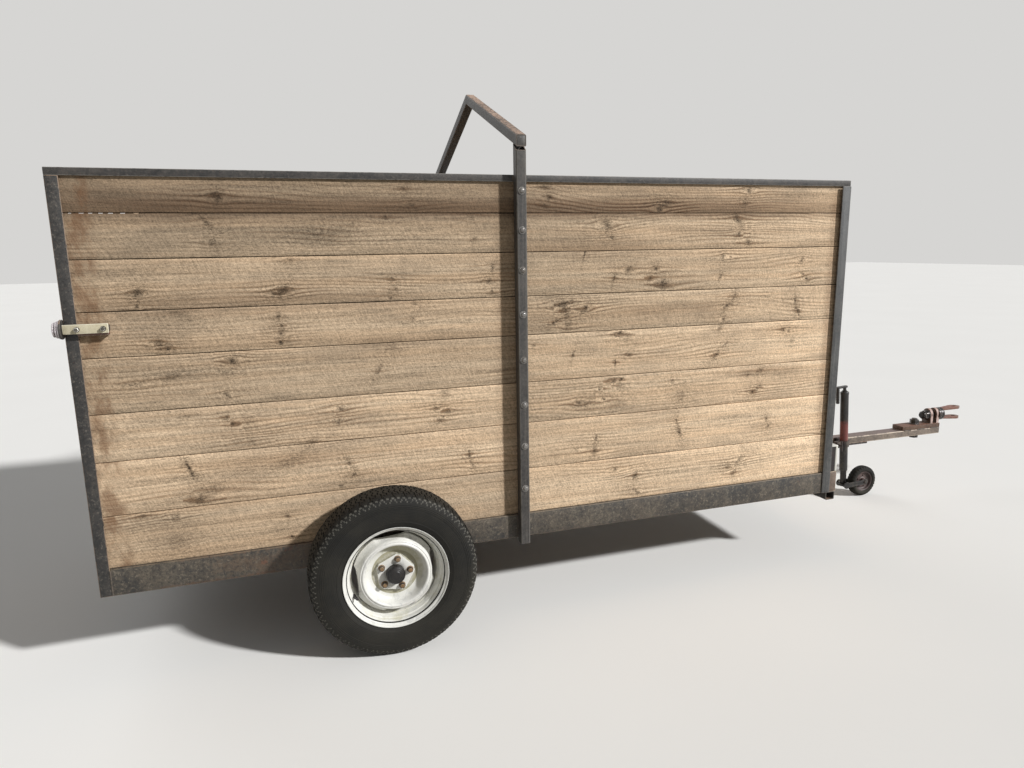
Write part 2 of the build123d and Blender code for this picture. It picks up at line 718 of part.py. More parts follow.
def jockey_stand():
    """Clamp, outer tube with its crank, sliding stem, swivelling fork and wheel."""
    bore = JOCKEY_TUBE_R - JOCKEY_TUBE_WALL
    ring_r = JOCKEY_TUBE_R + CONTACT + CLAMP_WALL
    half = CLAMP_HEIGHT / 2
    plate_y = (-HITCH_HALF - CLAMP_PLATE, -HITCH_HALF)
    rear = JOCKEY_X - CLAMP_PLATE_WIDTH / 2
    front = JOCKEY_X + CLAMP_PLATE_WIDTH / 2
    low = FRAME_Z - CLAMP_PLATE - 3
    plate = block((rear, front), plate_y, (low, DRAWBAR_Z + 10))
    plate += block((rear, JOCKEY_X + CLAMP_LEVER), (-HITCH_HALF, -HITCH_HALF / 2), (low, FRAME_Z))
    plate += block((rear, front), (plate_y[0], -HITCH_HALF / 2), (low, FRAME_Z))
    ring = rod(ring_r, -half, half, "z")
    ring += block((-14, 14), (0, plate_y[0] - JOCKEY_Y + 3), (-half, half))
    ring += block((-ring_r - 22, -JOCKEY_TUBE_R), (-16, 16), (-half, half))
    ring -= block((-ring_r - 23, -JOCKEY_TUBE_R + 5), (-1.5, 1.5), (-half - 1, half + 1))
    ring -= rod(JOCKEY_TUBE_R + CONTACT, -half - 1, half + 1, "z")
    screw = Pos(-ring_r - 11, 0, 0) * rod(6, -38, 24, "y")
    screw += Pos(-ring_r - 11, -38, 0) * rod(5, -30, 30, "z")
    save("jockey_clamp", plate + jockey_place(ring + screw))

    tube = rod(JOCKEY_TUBE_R, JOCKEY_FOOT, JOCKEY_TOP, "z")
    tube -= rod(bore, JOCKEY_FOOT - 1, JOCKEY_TOP - 6, "z")
    guide = rod(bore, JOCKEY_FOOT, JOCKEY_FOOT + JOCKEY_GUIDE, "z")
    guide -= rod(JOCKEY_STEM_R + CONTACT, JOCKEY_FOOT - 1, JOCKEY_FOOT + JOCKEY_GUIDE + 1, "z")
    save("jockey_tube", jockey_place(tube + guide))

    neck = rod(9, JOCKEY_TOP, JOCKEY_TOP + 30, "z")
    arm = block((-CRANK_REACH - 12, 16), (-12, 12), (JOCKEY_TOP + 24, JOCKEY_TOP + 34))
    arm = fillet(arm.edges().filter_by(Axis.Z), 8)
    grip = Pos(-CRANK_REACH, 0, 0) * rod(10, JOCKEY_TOP - CRANK_GRIP, JOCKEY_TOP + 25, "z")
    save("jockey_crank", jockey_place(neck + arm + grip))

    stem = rod(JOCKEY_STEM_R, JOCKEY_CROWN + CONTACT, 120, "z")
    stem -= rod(JOCKEY_STEM_R - 4, JOCKEY_CROWN + 30, 121, "z")
    stem += rod(bore - CONTACT, 100, 120, "z") - rod(JOCKEY_STEM_R - 4, 99, 121, "z")
    stem -= rod(JOCKEY_PIN_R + RUN_CLEARANCE, JOCKEY_CROWN - 1, JOCKEY_CROWN + 31, "z")
    save("jockey_stem", jockey_place(stem))

    arm_in = JOCKEY_WHEEL_WIDTH / 2 + JOCKEY_ARM_GAP
    arm_out = arm_in + JOCKEY_ARM_THICK
    hub_x = jockey_hub_x()
    crown = rod(JOCKEY_STEM_R + 2, JOCKEY_CROWN - 12, JOCKEY_CROWN, "z")
    crown += block((-20, 20), (-arm_out, arm_out), (JOCKEY_CROWN - 12, JOCKEY_CROWN))
    crown += rod(JOCKEY_PIN_R, JOCKEY_CROWN - 1, JOCKEY_CROWN + 25, "z")
    fork = jockey_place(crown)
    foot = JOCKEY_CROWN - 6
    foot_x = JOCKEY_X - foot * sin(radians(JOCKEY_TILT))
    foot_z = JOCKEY_Z + foot * cos(radians(JOCKEY_TILT))
    reach = Vector(hub_x - foot_x, 0, JOCKEY_HUB_Z - foot_z)
    arm_plate = Box(reach.length, arm_out - arm_in, 28)
    for r, x in ((20, -reach.length / 2), (17, reach.length / 2)):
        arm_plate += Pos(x, 0, 0) * rod(r, -JOCKEY_ARM_THICK / 2, JOCKEY_ARM_THICK / 2, "y")
    turn = Rot(0, -degrees(atan(reach.Z / reach.X)), 0)
    for side in (-1, 1):
        y = JOCKEY_Y + side * (arm_in + arm_out) / 2
        fork += Pos((hub_x + foot_x) / 2, y, (JOCKEY_HUB_Z + foot_z) / 2) * turn * arm_plate
    axle = Pos(hub_x, JOCKEY_Y, JOCKEY_HUB_Z) * rod(JOCKEY_PIN_R, -arm_out - 5, arm_out + 5, "y")
    save("jockey_fork", fork + axle)

    r = JOCKEY_WHEEL_OD / 2
    w = JOCKEY_WHEEL_WIDTH / 2
    rubber = turned(
        ((60, -w + 5), (66, -w), (r - 16, -w), (r - 4, -w + 8), (r, -w + 18))
        + ((r, w - 18), (r - 4, w - 8), (r - 16, w), (66, w), (60, w - 5))
    )
    bore = JOCKEY_PIN_R + RUN_CLEARANCE
    centre = turned(
        ((bore, -w), (18, -w), (20, -7), (50, -7), (54, -w + 5), (60 - CONTACT, -w + 5))
        + ((60 - CONTACT, w - 5), (54, w - 5), (50, 7), (20, 7), (18, w), (bore, w))
    )
    place = Pos(hub_x, JOCKEY_Y, JOCKEY_HUB_Z) * Rot(90, 0, 0)
    save("jockey_tyre", place * rubber)
    save("jockey_wheel_centre", place * centre)


def gate():
    """Drop gate: an angle frame, boards on its inner face, cleats, hinges and latch lugs."""
    face = GATE_BACK + GATE_THICK
    x = (GATE_BACK, GATE_BACK + GATE_LEG)
    z = (GATE_BOTTOM, GATE_BOTTOM + GATE_HEIGHT)
    frame = block(x, (-GATE_HALF, GATE_HALF), z)
    inner = GATE_HALF - GATE_THICK
    frame -= block((face, x[1]), (-inner, inner), (z[0] + GATE_THICK, z[1] - GATE_THICK))
    inner = GATE_HALF - GATE_LEG
    frame -= block((x[0], face), (-inner, inner), (z[0] + GATE_LEG, z[1] - GATE_LEG))
    mid_z = (z[0] + z[1]) / 2
    frame += block((x[0], face), (-inner, inner), (mid_z - GATE_LEG / 2, mid_z + GATE_LEG / 2))
    lug_y = -HALF - LATCH_BAR / 2
    lug = block((-LATCH_LUG_THICK, 0), (lug_y, -GATE_HALF + GATE_LEG), (-16, 16))
    lug += Pos(0, lug_y, 0) * rod(LATCH_LUG_R, -LATCH_LUG_THICK, 0, "x")
    lug -= Pos(0, lug_y, 0) * rod(LATCH_SCREW_R + RUN_CLEARANCE, -LATCH_LUG_THICK - 1, 1, "x")
    for piece in both(Pos(GATE_BACK, 0, LATCH_Z) * lug):
        frame += piece
    hinge = Pos(HINGE_X, 0, HINGE_Z)
    third = HINGE_LENGTH / 3
    knuckles = []
    for y in HINGE_PLACES:
        barrel = rod(HINGE_BARREL_R, y - third / 2, y + third / 2, "y")
        barrel += block((0, HINGE_BARREL_R), (y - third / 2, y + third / 2), (0, HINGE_LEAF))
        frame += hinge * barrel
        for side in (-1, 1):
            start = y + side * third
            part = rod(HINGE_BARREL_R, start - third / 2 + CONTACT, start + third / 2 - CONTACT, "y")
            low = (0, HINGE_BARREL_R - GATE_BACK + REAR_ANGLE_THICK)
            width = (start - third / 2 + CONTACT, start + third / 2 - CONTACT)
            part += block(low, width, (-HINGE_LEAF, 0))
            knuckles.append(hinge * part)
    frame -= hinge * rod(HINGE_PIN_R + RUN_CLEARANCE, -HALF, HALF, "y")
    save("gate_frame", frame)
    pins = []
    for i, y in enumerate(HINGE_PLACES):
        pin = hinge * rod(HINGE_PIN_R, y - HINGE_LENGTH / 2 - 8, y + HINGE_LENGTH / 2 + 8, "y")
        pins.append(pin + knuckles[2 * i] + knuckles[2 * i + 1])
    save("sill_hinges", *pins)

    boards = []
    board_x = (face + CONTACT, face + CONTACT + GATE_BOARD_THICK)
    inner = GATE_HALF - GATE_THICK - CONTACT
    start = z[0] + GATE_THICK + CONTACT
    pitch = (GATE_HEIGHT - 2 * GATE_THICK - 2 * CONTACT + GATE_BOARD_GAP) / GATE_BOARD_COUNT
    for i in range(GATE_BOARD_COUNT):
        low = start + i * pitch
        boards.append(block(board_x, (-inner, inner), (low, low + pitch - GATE_BOARD_GAP)))
    save("gate_boards", *boards)
    cleats = []
    cleat_x = (board_x[1], board_x[1] + CLEAT_THICK)
    for i in range(CLEAT_COUNT):
        middle = z[0] + (i + 0.5) * GATE_HEIGHT / CLEAT_COUNT
        level = (middle - CLEAT_WIDTH / 2, middle + CLEAT_WIDTH / 2)
        cleats.append(block(cleat_x, (-GATE_HALF + 40, GATE_HALF - 40), level))
    save("gate_cleats", *cleats)

    back = GATE_BACK - LATCH_LUG_THICK
    screw = rod(LATCH_SCREW_R, back - 20, 14, "x")
    screw += rod(26, back - 8, back, "x")
    screw += rod(17, back - 14, back - 8, "x")
    screw += rod(21, LATCH_KNOB_REAR, back - 14, "x")
    save("gate_screws", *both(Pos(0, lug_y, LATCH_Z) * screw))


def latch():
    """Strap on a spacer bar at each side wall; the gate's hand screw enters the bar's end."""
    x = (1.0, STRAP_LENGTH)
    strap_y = (depth(-LATCH_BAR - STRAP_THICK), depth(-LATCH_BAR))
    strap = block(x, strap_y, (LATCH_Z - STRAP_WIDTH / 2, LATCH_Z + STRAP_WIDTH / 2))
    save("latch_straps", *both(strap))
    bar = block(x, (depth(-LATCH_BAR), depth(0)), (LATCH_Z - LATCH_BAR / 2, LATCH_Z + LATCH_BAR / 2))
    bore = rod(LATCH_SCREW_R + LATCH_SCREW_CLEARANCE, 0, 40, "x")
    bar -= Pos(0, depth(-LATCH_BAR / 2), LATCH_Z) * bore
    save("latch_bars", *both(bar))


def markers():
    """White front marker lamps on the front rail, one at each corner."""
    y = (depth(4), depth(4 + MARKER_WIDTH))
    z = (FLOOR_Z, FLOOR_Z + MARKER_HEIGHT)
    x = (FRONT_X, FRONT_X + MARKER_DEPTH)
    save("front_markers", *both(block(x, y, z)))
    lens = block((x[0], x[1] + LENS_THICK), y, (z[0], z[1] + LENS_THICK))
    edges = lens.edges().filter_by(Axis.Y).group_by(Axis.Z)[-1].sort_by(Axis.X)[-1:]
    lens = fillet(edges, LENS_THICK - 1)
    lens -= block(x, y, z)
    save("front_marker_lenses", *both(lens))


bottom_frame()
floor()
corner_posts()
top_rails()
wall_boards()
hoop()
running_gear()
wheels()
drawbar()
hitch()
jockey_stand()
gate()
latch()
markers()

places = (
    # name, x, y, z of joint centres and reference points in the finished model
    ("gate_hinge", HINGE_X, 0, HINGE_Z),
    ("wheel_axle", AXLE_X, 0, AXLE_Z),
    ("swivel", CLEVIS_BACK, 0, SWIVEL_Z),
    ("hitch_pin", HITCH_PIN_X, 0, SWIVEL_Z),
    ("jockey_axis", JOCKEY_X, JOCKEY_Y, JOCKEY_Z),
    ("jockey_hub", jockey_hub_x(), JOCKEY_Y, JOCKEY_HUB_Z),
    ("body_rear", 0, -HALF, FLOOR_Z),
    ("body_front", FRONT_X, HALF, TOP_Z),
    ("hoop", HOOP_X, 0, TOP_Z + HOOP_EAVE),
)
for name, x, y, z in places:
    print(f"{name} {x - X_MIDDLE:.3f} {y:.3f} {z:.3f}")
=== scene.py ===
"""Looks of a single-axle animal transport trailer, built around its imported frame.

Lengths are metres in the frame's own axes: X forward to the hitch, Y to the left, Z up from the ground.
Tables of places are in millimetres where their comment says so.
"""

import json
import logging
import math
import random
from collections.abc import Callable, Iterable, Sequence
from dataclasses import dataclass
from enum import Enum
from functools import cache

import bmesh
import bpy
from bmesh.types import BMesh, BMFace, BMLayerItem, BMVert
from mathutils import Matrix, Vector, noise


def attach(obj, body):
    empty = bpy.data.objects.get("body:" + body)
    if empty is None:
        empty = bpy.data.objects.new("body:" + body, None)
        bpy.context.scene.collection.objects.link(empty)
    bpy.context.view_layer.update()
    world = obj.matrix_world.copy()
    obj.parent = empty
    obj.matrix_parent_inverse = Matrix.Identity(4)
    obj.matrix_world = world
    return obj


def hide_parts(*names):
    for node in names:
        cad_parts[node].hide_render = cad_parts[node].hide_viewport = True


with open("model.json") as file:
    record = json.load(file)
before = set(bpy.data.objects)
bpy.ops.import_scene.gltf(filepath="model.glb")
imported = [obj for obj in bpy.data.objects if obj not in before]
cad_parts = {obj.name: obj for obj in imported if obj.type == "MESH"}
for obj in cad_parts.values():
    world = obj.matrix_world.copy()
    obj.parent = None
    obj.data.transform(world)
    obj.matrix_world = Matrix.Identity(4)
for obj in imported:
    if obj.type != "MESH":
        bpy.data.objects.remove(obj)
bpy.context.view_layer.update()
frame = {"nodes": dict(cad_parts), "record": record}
LOG = logging.getLogger("trailer")
MM = 0.001
# Colours are written as screen values from 0 to 255
Colour = tuple[int, int, int]
Point = tuple[float, float, float]
Profile = Sequence[tuple[float, float]]


def linear(colour: Colour) -> tuple[float, ...]:
    """Linear values of a colour, for a node's input."""
    parts = [value / 255 for value in colour]
    return (*[p / 12.92 if p <= 0.04045 else ((p + 0.055) / 1.055) ** 2.4 for p in parts], 1.0)


# Materials


def math_method(operation: str, swap: bool = False) -> Callable[..., "Val"]:
    """A method of Val that adds one Math node.

    Args:
        operation: the node's operation.
        swap: put the method's own value last, as a reflected operator needs.
    Returns:
        The method.
    """

    def method(value: "Val", *others: "Val | float") -> "Val":
        """Result of the node."""
        inputs = (*others, value) if swap else (value, *others)
        return value.graph.add("ShaderNodeMath", {"operation": operation}, dict(enumerate(inputs)))

    return method


class Val:
    """A socket of a graph, with its arithmetic written as Python expressions."""

    def __init__(self, graph: "Graph", socket: bpy.types.NodeSocket) -> None:
        """Wrap a socket."""
        self.graph = graph
        self.socket = socket

    __add__, __radd__ = math_method("ADD"), math_method("ADD", True)
    __sub__, __rsub__ = math_method("SUBTRACT"), math_method("SUBTRACT", True)
    __mul__, __rmul__ = math_method("MULTIPLY"), math_method("MULTIPLY", True)
    __truediv__, __rtruediv__ = math_method("DIVIDE"), math_method("DIVIDE", True)
    __pow__ = math_method("POWER")
    least, most = math_method("MINIMUM"), math_method("MAXIMUM")
    root, size = math_method("SQRT"), math_method("ABSOLUTE")
    sine, cosine, exp = math_method("SINE"), math_method("COSINE"), math_method("EXPONENT")

    def rise(self, low: float, high: float) -> "Val":
        """Smooth step from 0 at low to 1 at high; it falls where low is above high.

        Args:
            low: value that gives 0.
            high: value that gives 1.
        Returns:
            The smooth step.
        """
        settings = {"interpolation_type": "SMOOTHSTEP"}
        sockets = {"Value": self, "From Min": min(low, high), "From Max": max(low, high)}
        sockets |= {"To Min": float(low > high), "To Max": float(low <= high)}
        return self.graph.add("ShaderNodeMapRange", settings, sockets)

    def within(self, low: float, high: float, blur: float) -> "Val":
        """1 between two values and 0 outside them, with soft ends."""
        return self.rise(low - blur, low + blur) * self.rise(high + blur, high - blur)


class Graph:
    """The node graph of a material or of the world."""

    def __init__(self, owner: bpy.types.Material | bpy.types.World) -> None:
        """Empty its graph.

        Args:
            owner: the material or the world.
        """
        owner.use_nodes = True
        self.owner = owner
        self.tree = owner.node_tree
        self.tree.nodes.clear()

    def add(
        self, kind: str, settings: dict[str, object] | None = None,
        sockets: dict[str | int, object] | None = None, out: str | int = 0,
    ) -> Val | None:
        """Add any node.

        Args:
            kind: the node's type.
            settings: its properties.
            sockets: values or links of its inputs.
            out: the output wanted.
        Returns:
            That output, or None where the node has none.
        """
        node = self.tree.nodes.new(kind)
        for key, value in (settings or {}).items():
            setattr(node, key, value)
        for key, value in (sockets or {}).items():
            if isinstance(value, Val):
                self.tree.links.new(value.socket, node.inputs[key])
            else:
                node.inputs[key].default_value = value
        return Val(self, node.outputs[out]) if node.outputs else None

    def coords(self) -> Val:
        """Object coordinates."""
        return self.add("ShaderNodeTexCoord", out="Object")

    def split(self, vector: Val) -> tuple[Val, Val, Val]:
        """Take a vector apart.

        Args:
            vector: the vector.
        Returns:
            Its three parts.
        """
        node = self.tree.nodes.new("ShaderNodeSeparateXYZ")
        self.tree.links.new(vector.socket, node.inputs[0])
        return tuple(Val(self, socket) for socket in node.outputs)

    def join(self, x: Val | float, y: Val | float, z: Val | float) -> Val:
        """A vector from its three parts."""
        return self.add("ShaderNodeCombineXYZ", None, {0: x, 1: y, 2: z})

    def stretch(self, vector: Val, scale: Sequence[float]) -> Val:
        """A vector with each part multiplied."""
        settings = {"operation": "MULTIPLY"}
        return self.add("ShaderNodeVectorMath", settings, {0: vector, 1: tuple(scale)})

    def noise(
        self, vector: Val, scale: float, detail: float = 2.0, rough: float = 0.5, warp: float = 0.0
    ) -> Val:
        """Fractal noise from 0 to 1.

        Args:
            vector: where it is read.
            scale: features per metre.
            detail: octaves.
            rough: weight of the finer octaves.
            warp: distortion.
        Returns:
            The noise value.
        """
        sockets = {"Vector": vector, "Scale": scale, "Detail": detail, "Roughness": rough}
        return self.add("ShaderNodeTexNoise", None, sockets | {"Distortion": warp})

    def cells(self, vector: Val, scale: float) -> Val:
        """Distance to the nearest point of a pattern with so many cells per metre."""
        return self.add("ShaderNodeTexVoronoi", None, {"Vector": vector, "Scale": scale}, "Distance")

    def attribute(self, name: str, out: str = "Fac") -> Val:
        """An attribute of the piece's own mesh."""
        return self.add("ShaderNodeAttribute", {"attribute_name": name}, None, out)

    def mix(self, factor: Val | float, a: "Val | Colour", b: "Val | Colour", way: str = "MIX") -> Val:
        """Blend two colours.

        Args:
            factor: share of the second colour.
            a: first colour.
            b: second colour.
            way: the blend mode.
        Returns:
            The mixed colour.
        """
        a, b = (colour if isinstance(colour, Val) else linear(colour) for colour in (a, b))
        settings = {"data_type": "RGBA", "blend_type": way, "clamp_factor": True}
        return self.add("ShaderNodeMix", settings, {0: factor, 6: a, 7: b}, 2)

    def shaded(self, colour: Val | Colour, value: Val) -> Val:
        """A colour made darker or brighter by a value."""
        grey = self.add("ShaderNodeCombineColor", None, {0: value, 1: value, 2: value})
        return self.mix(1.0, colour, grey, "MULTIPLY")

    def bump(self, height: Val, depth: float) -> Val:
        """Normal from a height, of which one unit is so many metres deep."""
        return self.add("ShaderNodeBump", None, {"Height": height, "Distance": depth, "Strength": 1.0})

    def surface(self, sockets: dict[str | int, object]) -> bpy.types.Material:
        """Close the graph with a Principled surface.

        Args:
            sockets: values or links of its inputs.
        Returns:
            The finished material.
        """
        shader = self.add("ShaderNodeBsdfPrincipled", None, sockets)
        self.add("ShaderNodeOutputMaterial", None, {"Surface": shader})
        return self.owner


class Run(Enum):
    """How a set of planks lies: its axes along, across and through the boards."""

    FORWARD_UPRIGHT = (0, 2, 1)
    ACROSS_UPRIGHT = (1, 2, 0)
    FORWARD_FLAT = (0, 1, 2)


@dataclass(frozen=True)
class Patch:
    """A stretch of a piece, between two corners in X and Z, where another colour shows."""

    colour: Colour
    low: tuple[float, float]
    high: tuple[float, float]
    share: float = 0.8
    blur: float = 0.02


@dataclass(frozen=True)
class WornPaint:
    """Old paint on steel: two coats, chalking, bare worn edges and rust."""

    name: str
    coat: Colour
    faded: Colour
    rust: Colour = (104, 62, 40)
    rust_share: float = 0.25
    foot_rust: float = 0.0
    chalk: Colour = (150, 140, 122)
    chalk_share: float = 0.25
    edge: Colour = (150, 146, 140)
    edge_share: float = 0.6
    top: Colour = (150, 130, 112)
    top_share: float = 0.0
    streaks: float = 0.0
    speckle: float = 0.0
    speck: Colour = (22, 21, 20)
    patches: tuple[Patch, ...] = ()
    rough: float = 0.55
    metal: float = 0.0

    def material(self) -> bpy.types.Material:
        """Build the paint.

        Returns:
            The material.
        """
        g = Graph(bpy.data.materials.new(self.name))
        at = g.coords()
        x, _, height = g.split(at)
        patches = g.noise(at, 7.0, 5.0, 0.6)
        fine = g.noise(at, 90.0, 4.0, 0.65)
        grit = g.noise(at, 420.0, 2.0, 0.6)
        colour = g.mix((patches * 0.7 + fine * 0.5).rise(0.42, 0.78), self.coat, self.faded)
        chalk = (g.noise(g.stretch(at, (1.0, 1.0, 0.35)), 16.0, 5.0, 0.7) + fine * 0.35).rise(0.62, 0.9)
        colour = g.mix(chalk * self.chalk_share, colour, self.chalk)
        if self.streaks:
            runs = g.noise(g.stretch(at, (95.0, 95.0, 2.6)), 1.0, 3.0, 0.6)
            colour = g.mix(runs.rise(0.5, 0.7) * self.streaks, colour, self.chalk)
        if self.speckle:
            specks = g.noise(at, 125.0, 3.0, 0.7, 0.5)
            blotch = g.noise(at, 42.0, 4.0, 0.7, 0.5)
            mottled = specks * 0.6 + blotch * 0.4
            colour = g.mix(mottled.rise(0.53, 0.64) * self.speckle, colour, self.chalk)
            colour = g.mix(mottled.rise(0.48, 0.37) * self.speckle, colour, self.speck)
        if self.top_share:
            dust = g.attribute("up") * (patches * 0.5 + fine * 0.7).rise(0.42, 0.68)
            colour = g.mix(dust * self.top_share, colour, self.top)
        for patch in self.patches:
            inside = x.within(patch.low[0], patch.high[0], patch.blur)
            inside = inside * height.within(patch.low[1], patch.high[1], patch.blur)
            ragged = inside + (patches + fine) * 0.88
            colour = g.mix(ragged.rise(1.5, 1.95) * patch.share, colour, patch.colour)
        low = height.rise(0.62, 0.3) * self.foot_rust
        field_of_rust = g.noise(at, 11.0, 6.0, 0.68, 0.4) + fine * 0.3 + low * 0.12
        start = 0.98 - 0.5 * self.rust_share
        rust = field_of_rust.rise(start, start + 0.13)
        tint = g.shaded(self.rust, 1.0 + grit.rise(0.3, 0.7) * 0.7)
        colour = g.mix(rust * 0.9, colour, tint)
        pits = (g.cells(at, 260.0).rise(0.32, 0.1) * fine.rise(0.45, 0.62)) * (0.35 + self.rust_share)
        colour = g.mix(pits, colour, self.rust)
        worn = g.attribute("edge") * (g.noise(at, 38.0, 3.0, 0.6) + grit * 0.3).rise(0.46, 0.66)
        colour = g.mix(worn * self.edge_share, colour, self.edge)
        colour = g.shaded(colour, 0.82 + grit * 0.36)
        roughness = self.rough + rust * 0.25 + (fine - 0.5) * 0.2
        normal = g.bump(fine * 0.6 + grit * 0.5 + rust * grit * 1.2 - pits, 0.0009)
        metallic = (1.0 - rust) * self.metal
        return g.surface(
            {"Base Color": colour, "Roughness": roughness, "Metallic": metallic, "Normal": normal}
        )


@dataclass(frozen=True)
class Planks:
    """Rough-sawn softwood left out in the weather, its grain bent round every knot."""

    name: str
    run: Run
    pale: Colour = (240, 213, 180)
    mid: Colour = (224, 194, 160)
    late: Colour = (142, 112, 84)
    grey: Colour = (178, 158, 134)
    knot: Colour = (116, 97, 76)
    core: Colour = (60, 49, 38)
    # Colour of stains and of the painted post shadows
    stain_and_shadow: Colour = (112, 84, 62)
    drip: Colour = (112, 78, 52)
    rust_x: float = 0.0
    grey_share: float = 0.6
    contrast: float = 1.3

    def knot_figure(self, g: Graph, along: Val, across: Val, rag: Val, name: str) -> tuple[Val, ...]:
        """One knot's figure, read from the two vectors that each face carries for it.

        Args:
            g: the material's graph.
            along: position along the grain.
            across: position across the grain.
            rag: noise that roughens the outline.
            name: name of the pair of attributes.
        Returns:
            How far the grain is pushed aside, the smudge round it, the dark core and the flames that run
            from it along the grain.
        """
        knot_along, knot_across, radius = g.split(g.attribute(name, "Vector"))
        tilt, stretch, dark = g.split(g.attribute(f"{name}_set", "Vector"))
        dx = along - knot_along
        dz = across - knot_across
        cos, sin = tilt.cosine(), tilt.sine()
        u = (dx * cos + dz * sin) / stretch
        v = dz * cos - dx * sin
        apart = (u * u + v * v).root() / radius
        wide = dx / 2.4
        round_it = ((wide * wide + dz * dz).root() / radius).most(0.2)
        push = dz * (1.0 / (round_it * round_it)).least(1.0) * dark.least(1.0)
        ragged = (apart + (rag - 0.5) * 1.5).most(0.03)
        smudge = (ragged * -0.6).exp() * dark
        rings = (ragged * 7.5).sine() * 0.5 + 0.5
        core = ragged.rise(1.35, 0.25) * (0.6 + rings * 0.4) * dark
        far = dx / 6.0
        reach = (far * far + dz * dz).root() / radius
        flames = (reach * -0.75).exp() * dark
        return push, smudge, core, flames

    def material(self) -> bpy.types.Material:
        """Build the timber.

        Returns:
            The material.
        """
        g = Graph(bpy.data.materials.new(self.name))
        at = g.coords()
        axes = g.split(at)
        along, across, through = (axes[axis] for axis in self.run.value)
        seed, tone, place = g.split(g.attribute("board", "Vector"))
        shift = seed * 17.0
        rag = g.noise(at, 70.0, 4.0, 0.7, 0.6)
        push_a, smudge_a, core_a, flames_a = self.knot_figure(g, along, across, rag, "knot_a")
        push_b, smudge_b, core_b, flames_b = self.knot_figure(g, along, across, rag, "knot_b")
        flames = (flames_a + flames_b).least(1.0)
        smudge = (smudge_a + smudge_b).least(1.0)
        core = (core_a + core_b).least(1.0)
        level = across - push_a - push_b
        sweep = g.noise(g.join(along * 1.1, level * 5.0, shift), 1.0, 2.0, 0.45)
        figure = (level * 470.0 + sweep * 58.0 + shift).sine() * 0.5 + 0.5
        shown = g.noise(g.join(along * 1.6, across * 9.0, shift + 5.0), 1.0, 2.0, 0.5)
        shown = (shown.rise(0.46, 0.7) * 0.5 + flames * 1.5).least(1.15)
        lines = (figure ** 3.0) * shown
        light_lines = ((1.0 - figure) ** 3.0) * shown
        bands = g.noise(g.join(along * 0.5, level * 26.0, shift + 3.0), 1.0, 2.0, 0.5)
        hair = g.noise(g.join(along * 7.0, level * 240.0, shift), 1.0, 4.0, 0.68)
        dusk = g.noise(g.join(along * 1.1, level * 24.0, shift + 9.0), 1.0, 3.0, 0.6)
        thread = g.noise(g.join(along * 3.2, level * 96.0, shift + 7.0), 1.0, 3.0, 0.6)
        fleck = g.noise(g.join(along * 95.0, across * 200.0, through * 120.0), 1.0, 3.0, 0.68, 0.6)
        crumb = g.noise(g.join(along * 170.0, across * 230.0, shift), 1.0, 2.0, 0.6, 0.4)
        saw = g.noise(g.join(along * 190.0 + across * 70.0, across * 34.0, shift), 1.0, 2.0, 0.5)
        cloud = g.noise(g.join(along * 2.6, across * 8.0, shift), 1.0, 4.0, 0.62)

        colour = g.mix(bands.rise(0.3, 0.7), self.pale, self.mid)
        colour = g.mix(cloud.rise(0.44, 0.7) * self.grey_share, colour, self.grey)
        colour = g.mix((lines * 0.75 + hair.rise(0.5, 0.72) * 0.34).least(0.95), colour, self.late)
        # The stain attribute holds real stains and the painted shadows of the posts
        stain_and_shadow = g.attribute("stain_and_shadow") * (0.6 + (lines + fleck) * 0.4)
        colour = g.mix(stain_and_shadow.least(0.92), colour, self.stain_and_shadow)
        rough_spot = fleck.rise(0.56, 0.36)
        colour = g.mix((smudge * (0.34 + rough_spot * 0.66)).least(0.82), colour, self.knot)
        colour = g.mix((core * (0.72 + rough_spot * 0.3)).least(0.92), colour, self.core)
        contrast = self.contrast
        shading = 1.0 + (hair - 0.5) * 0.8 * contrast + (saw - 0.5) * 0.5 * contrast
        shading = shading + (thread.rise(0.3, 0.7) - 0.5) * 0.24 * contrast
        shading = shading + (fleck.rise(0.3, 0.7) - 0.5) * (0.42 + smudge * 0.5)
        shading = shading + (crumb.rise(0.3, 0.7) - 0.5) * 0.24
        shading = shading + light_lines * (0.12 + flames * 0.3) + (cloud - 0.5) * 0.4
        shading = shading - dusk.rise(0.56, 0.7) * 0.16 + (bands - 0.5) * 0.3
        # Painted shade along each board's lower edge and a painted highlight along its upper edge
        edges = place.rise(0.02, 0.0) * 0.3 - place.rise(0.955, 0.99) * 0.16
        shading = shading * (1.0 - edges) * tone
        colour = g.shaded(colour, shading.most(0.02))
        if self.rust_x:
            near = (axes[0] - self.rust_x).size().rise(0.055, 0.018)
            drips = g.noise(g.join(along * 16.0, across * 9.0, shift), 1.0, 4.0, 0.6)
            colour = g.mix(near * (drips + fleck * 0.3).rise(0.56, 0.78) * 0.62, colour, self.drip)
        height = hair * 0.3 + lines * 0.3 + fleck * 0.8 + crumb * 0.4 + saw * 0.4 - core * 0.5
        normal = g.bump(height, 0.0018)
        sockets = {"Base Color": colour, "Roughness": 0.78 + fleck * 0.18, "Normal": normal}
        return g.surface(sockets | {"Specular IOR Level": 0.25})


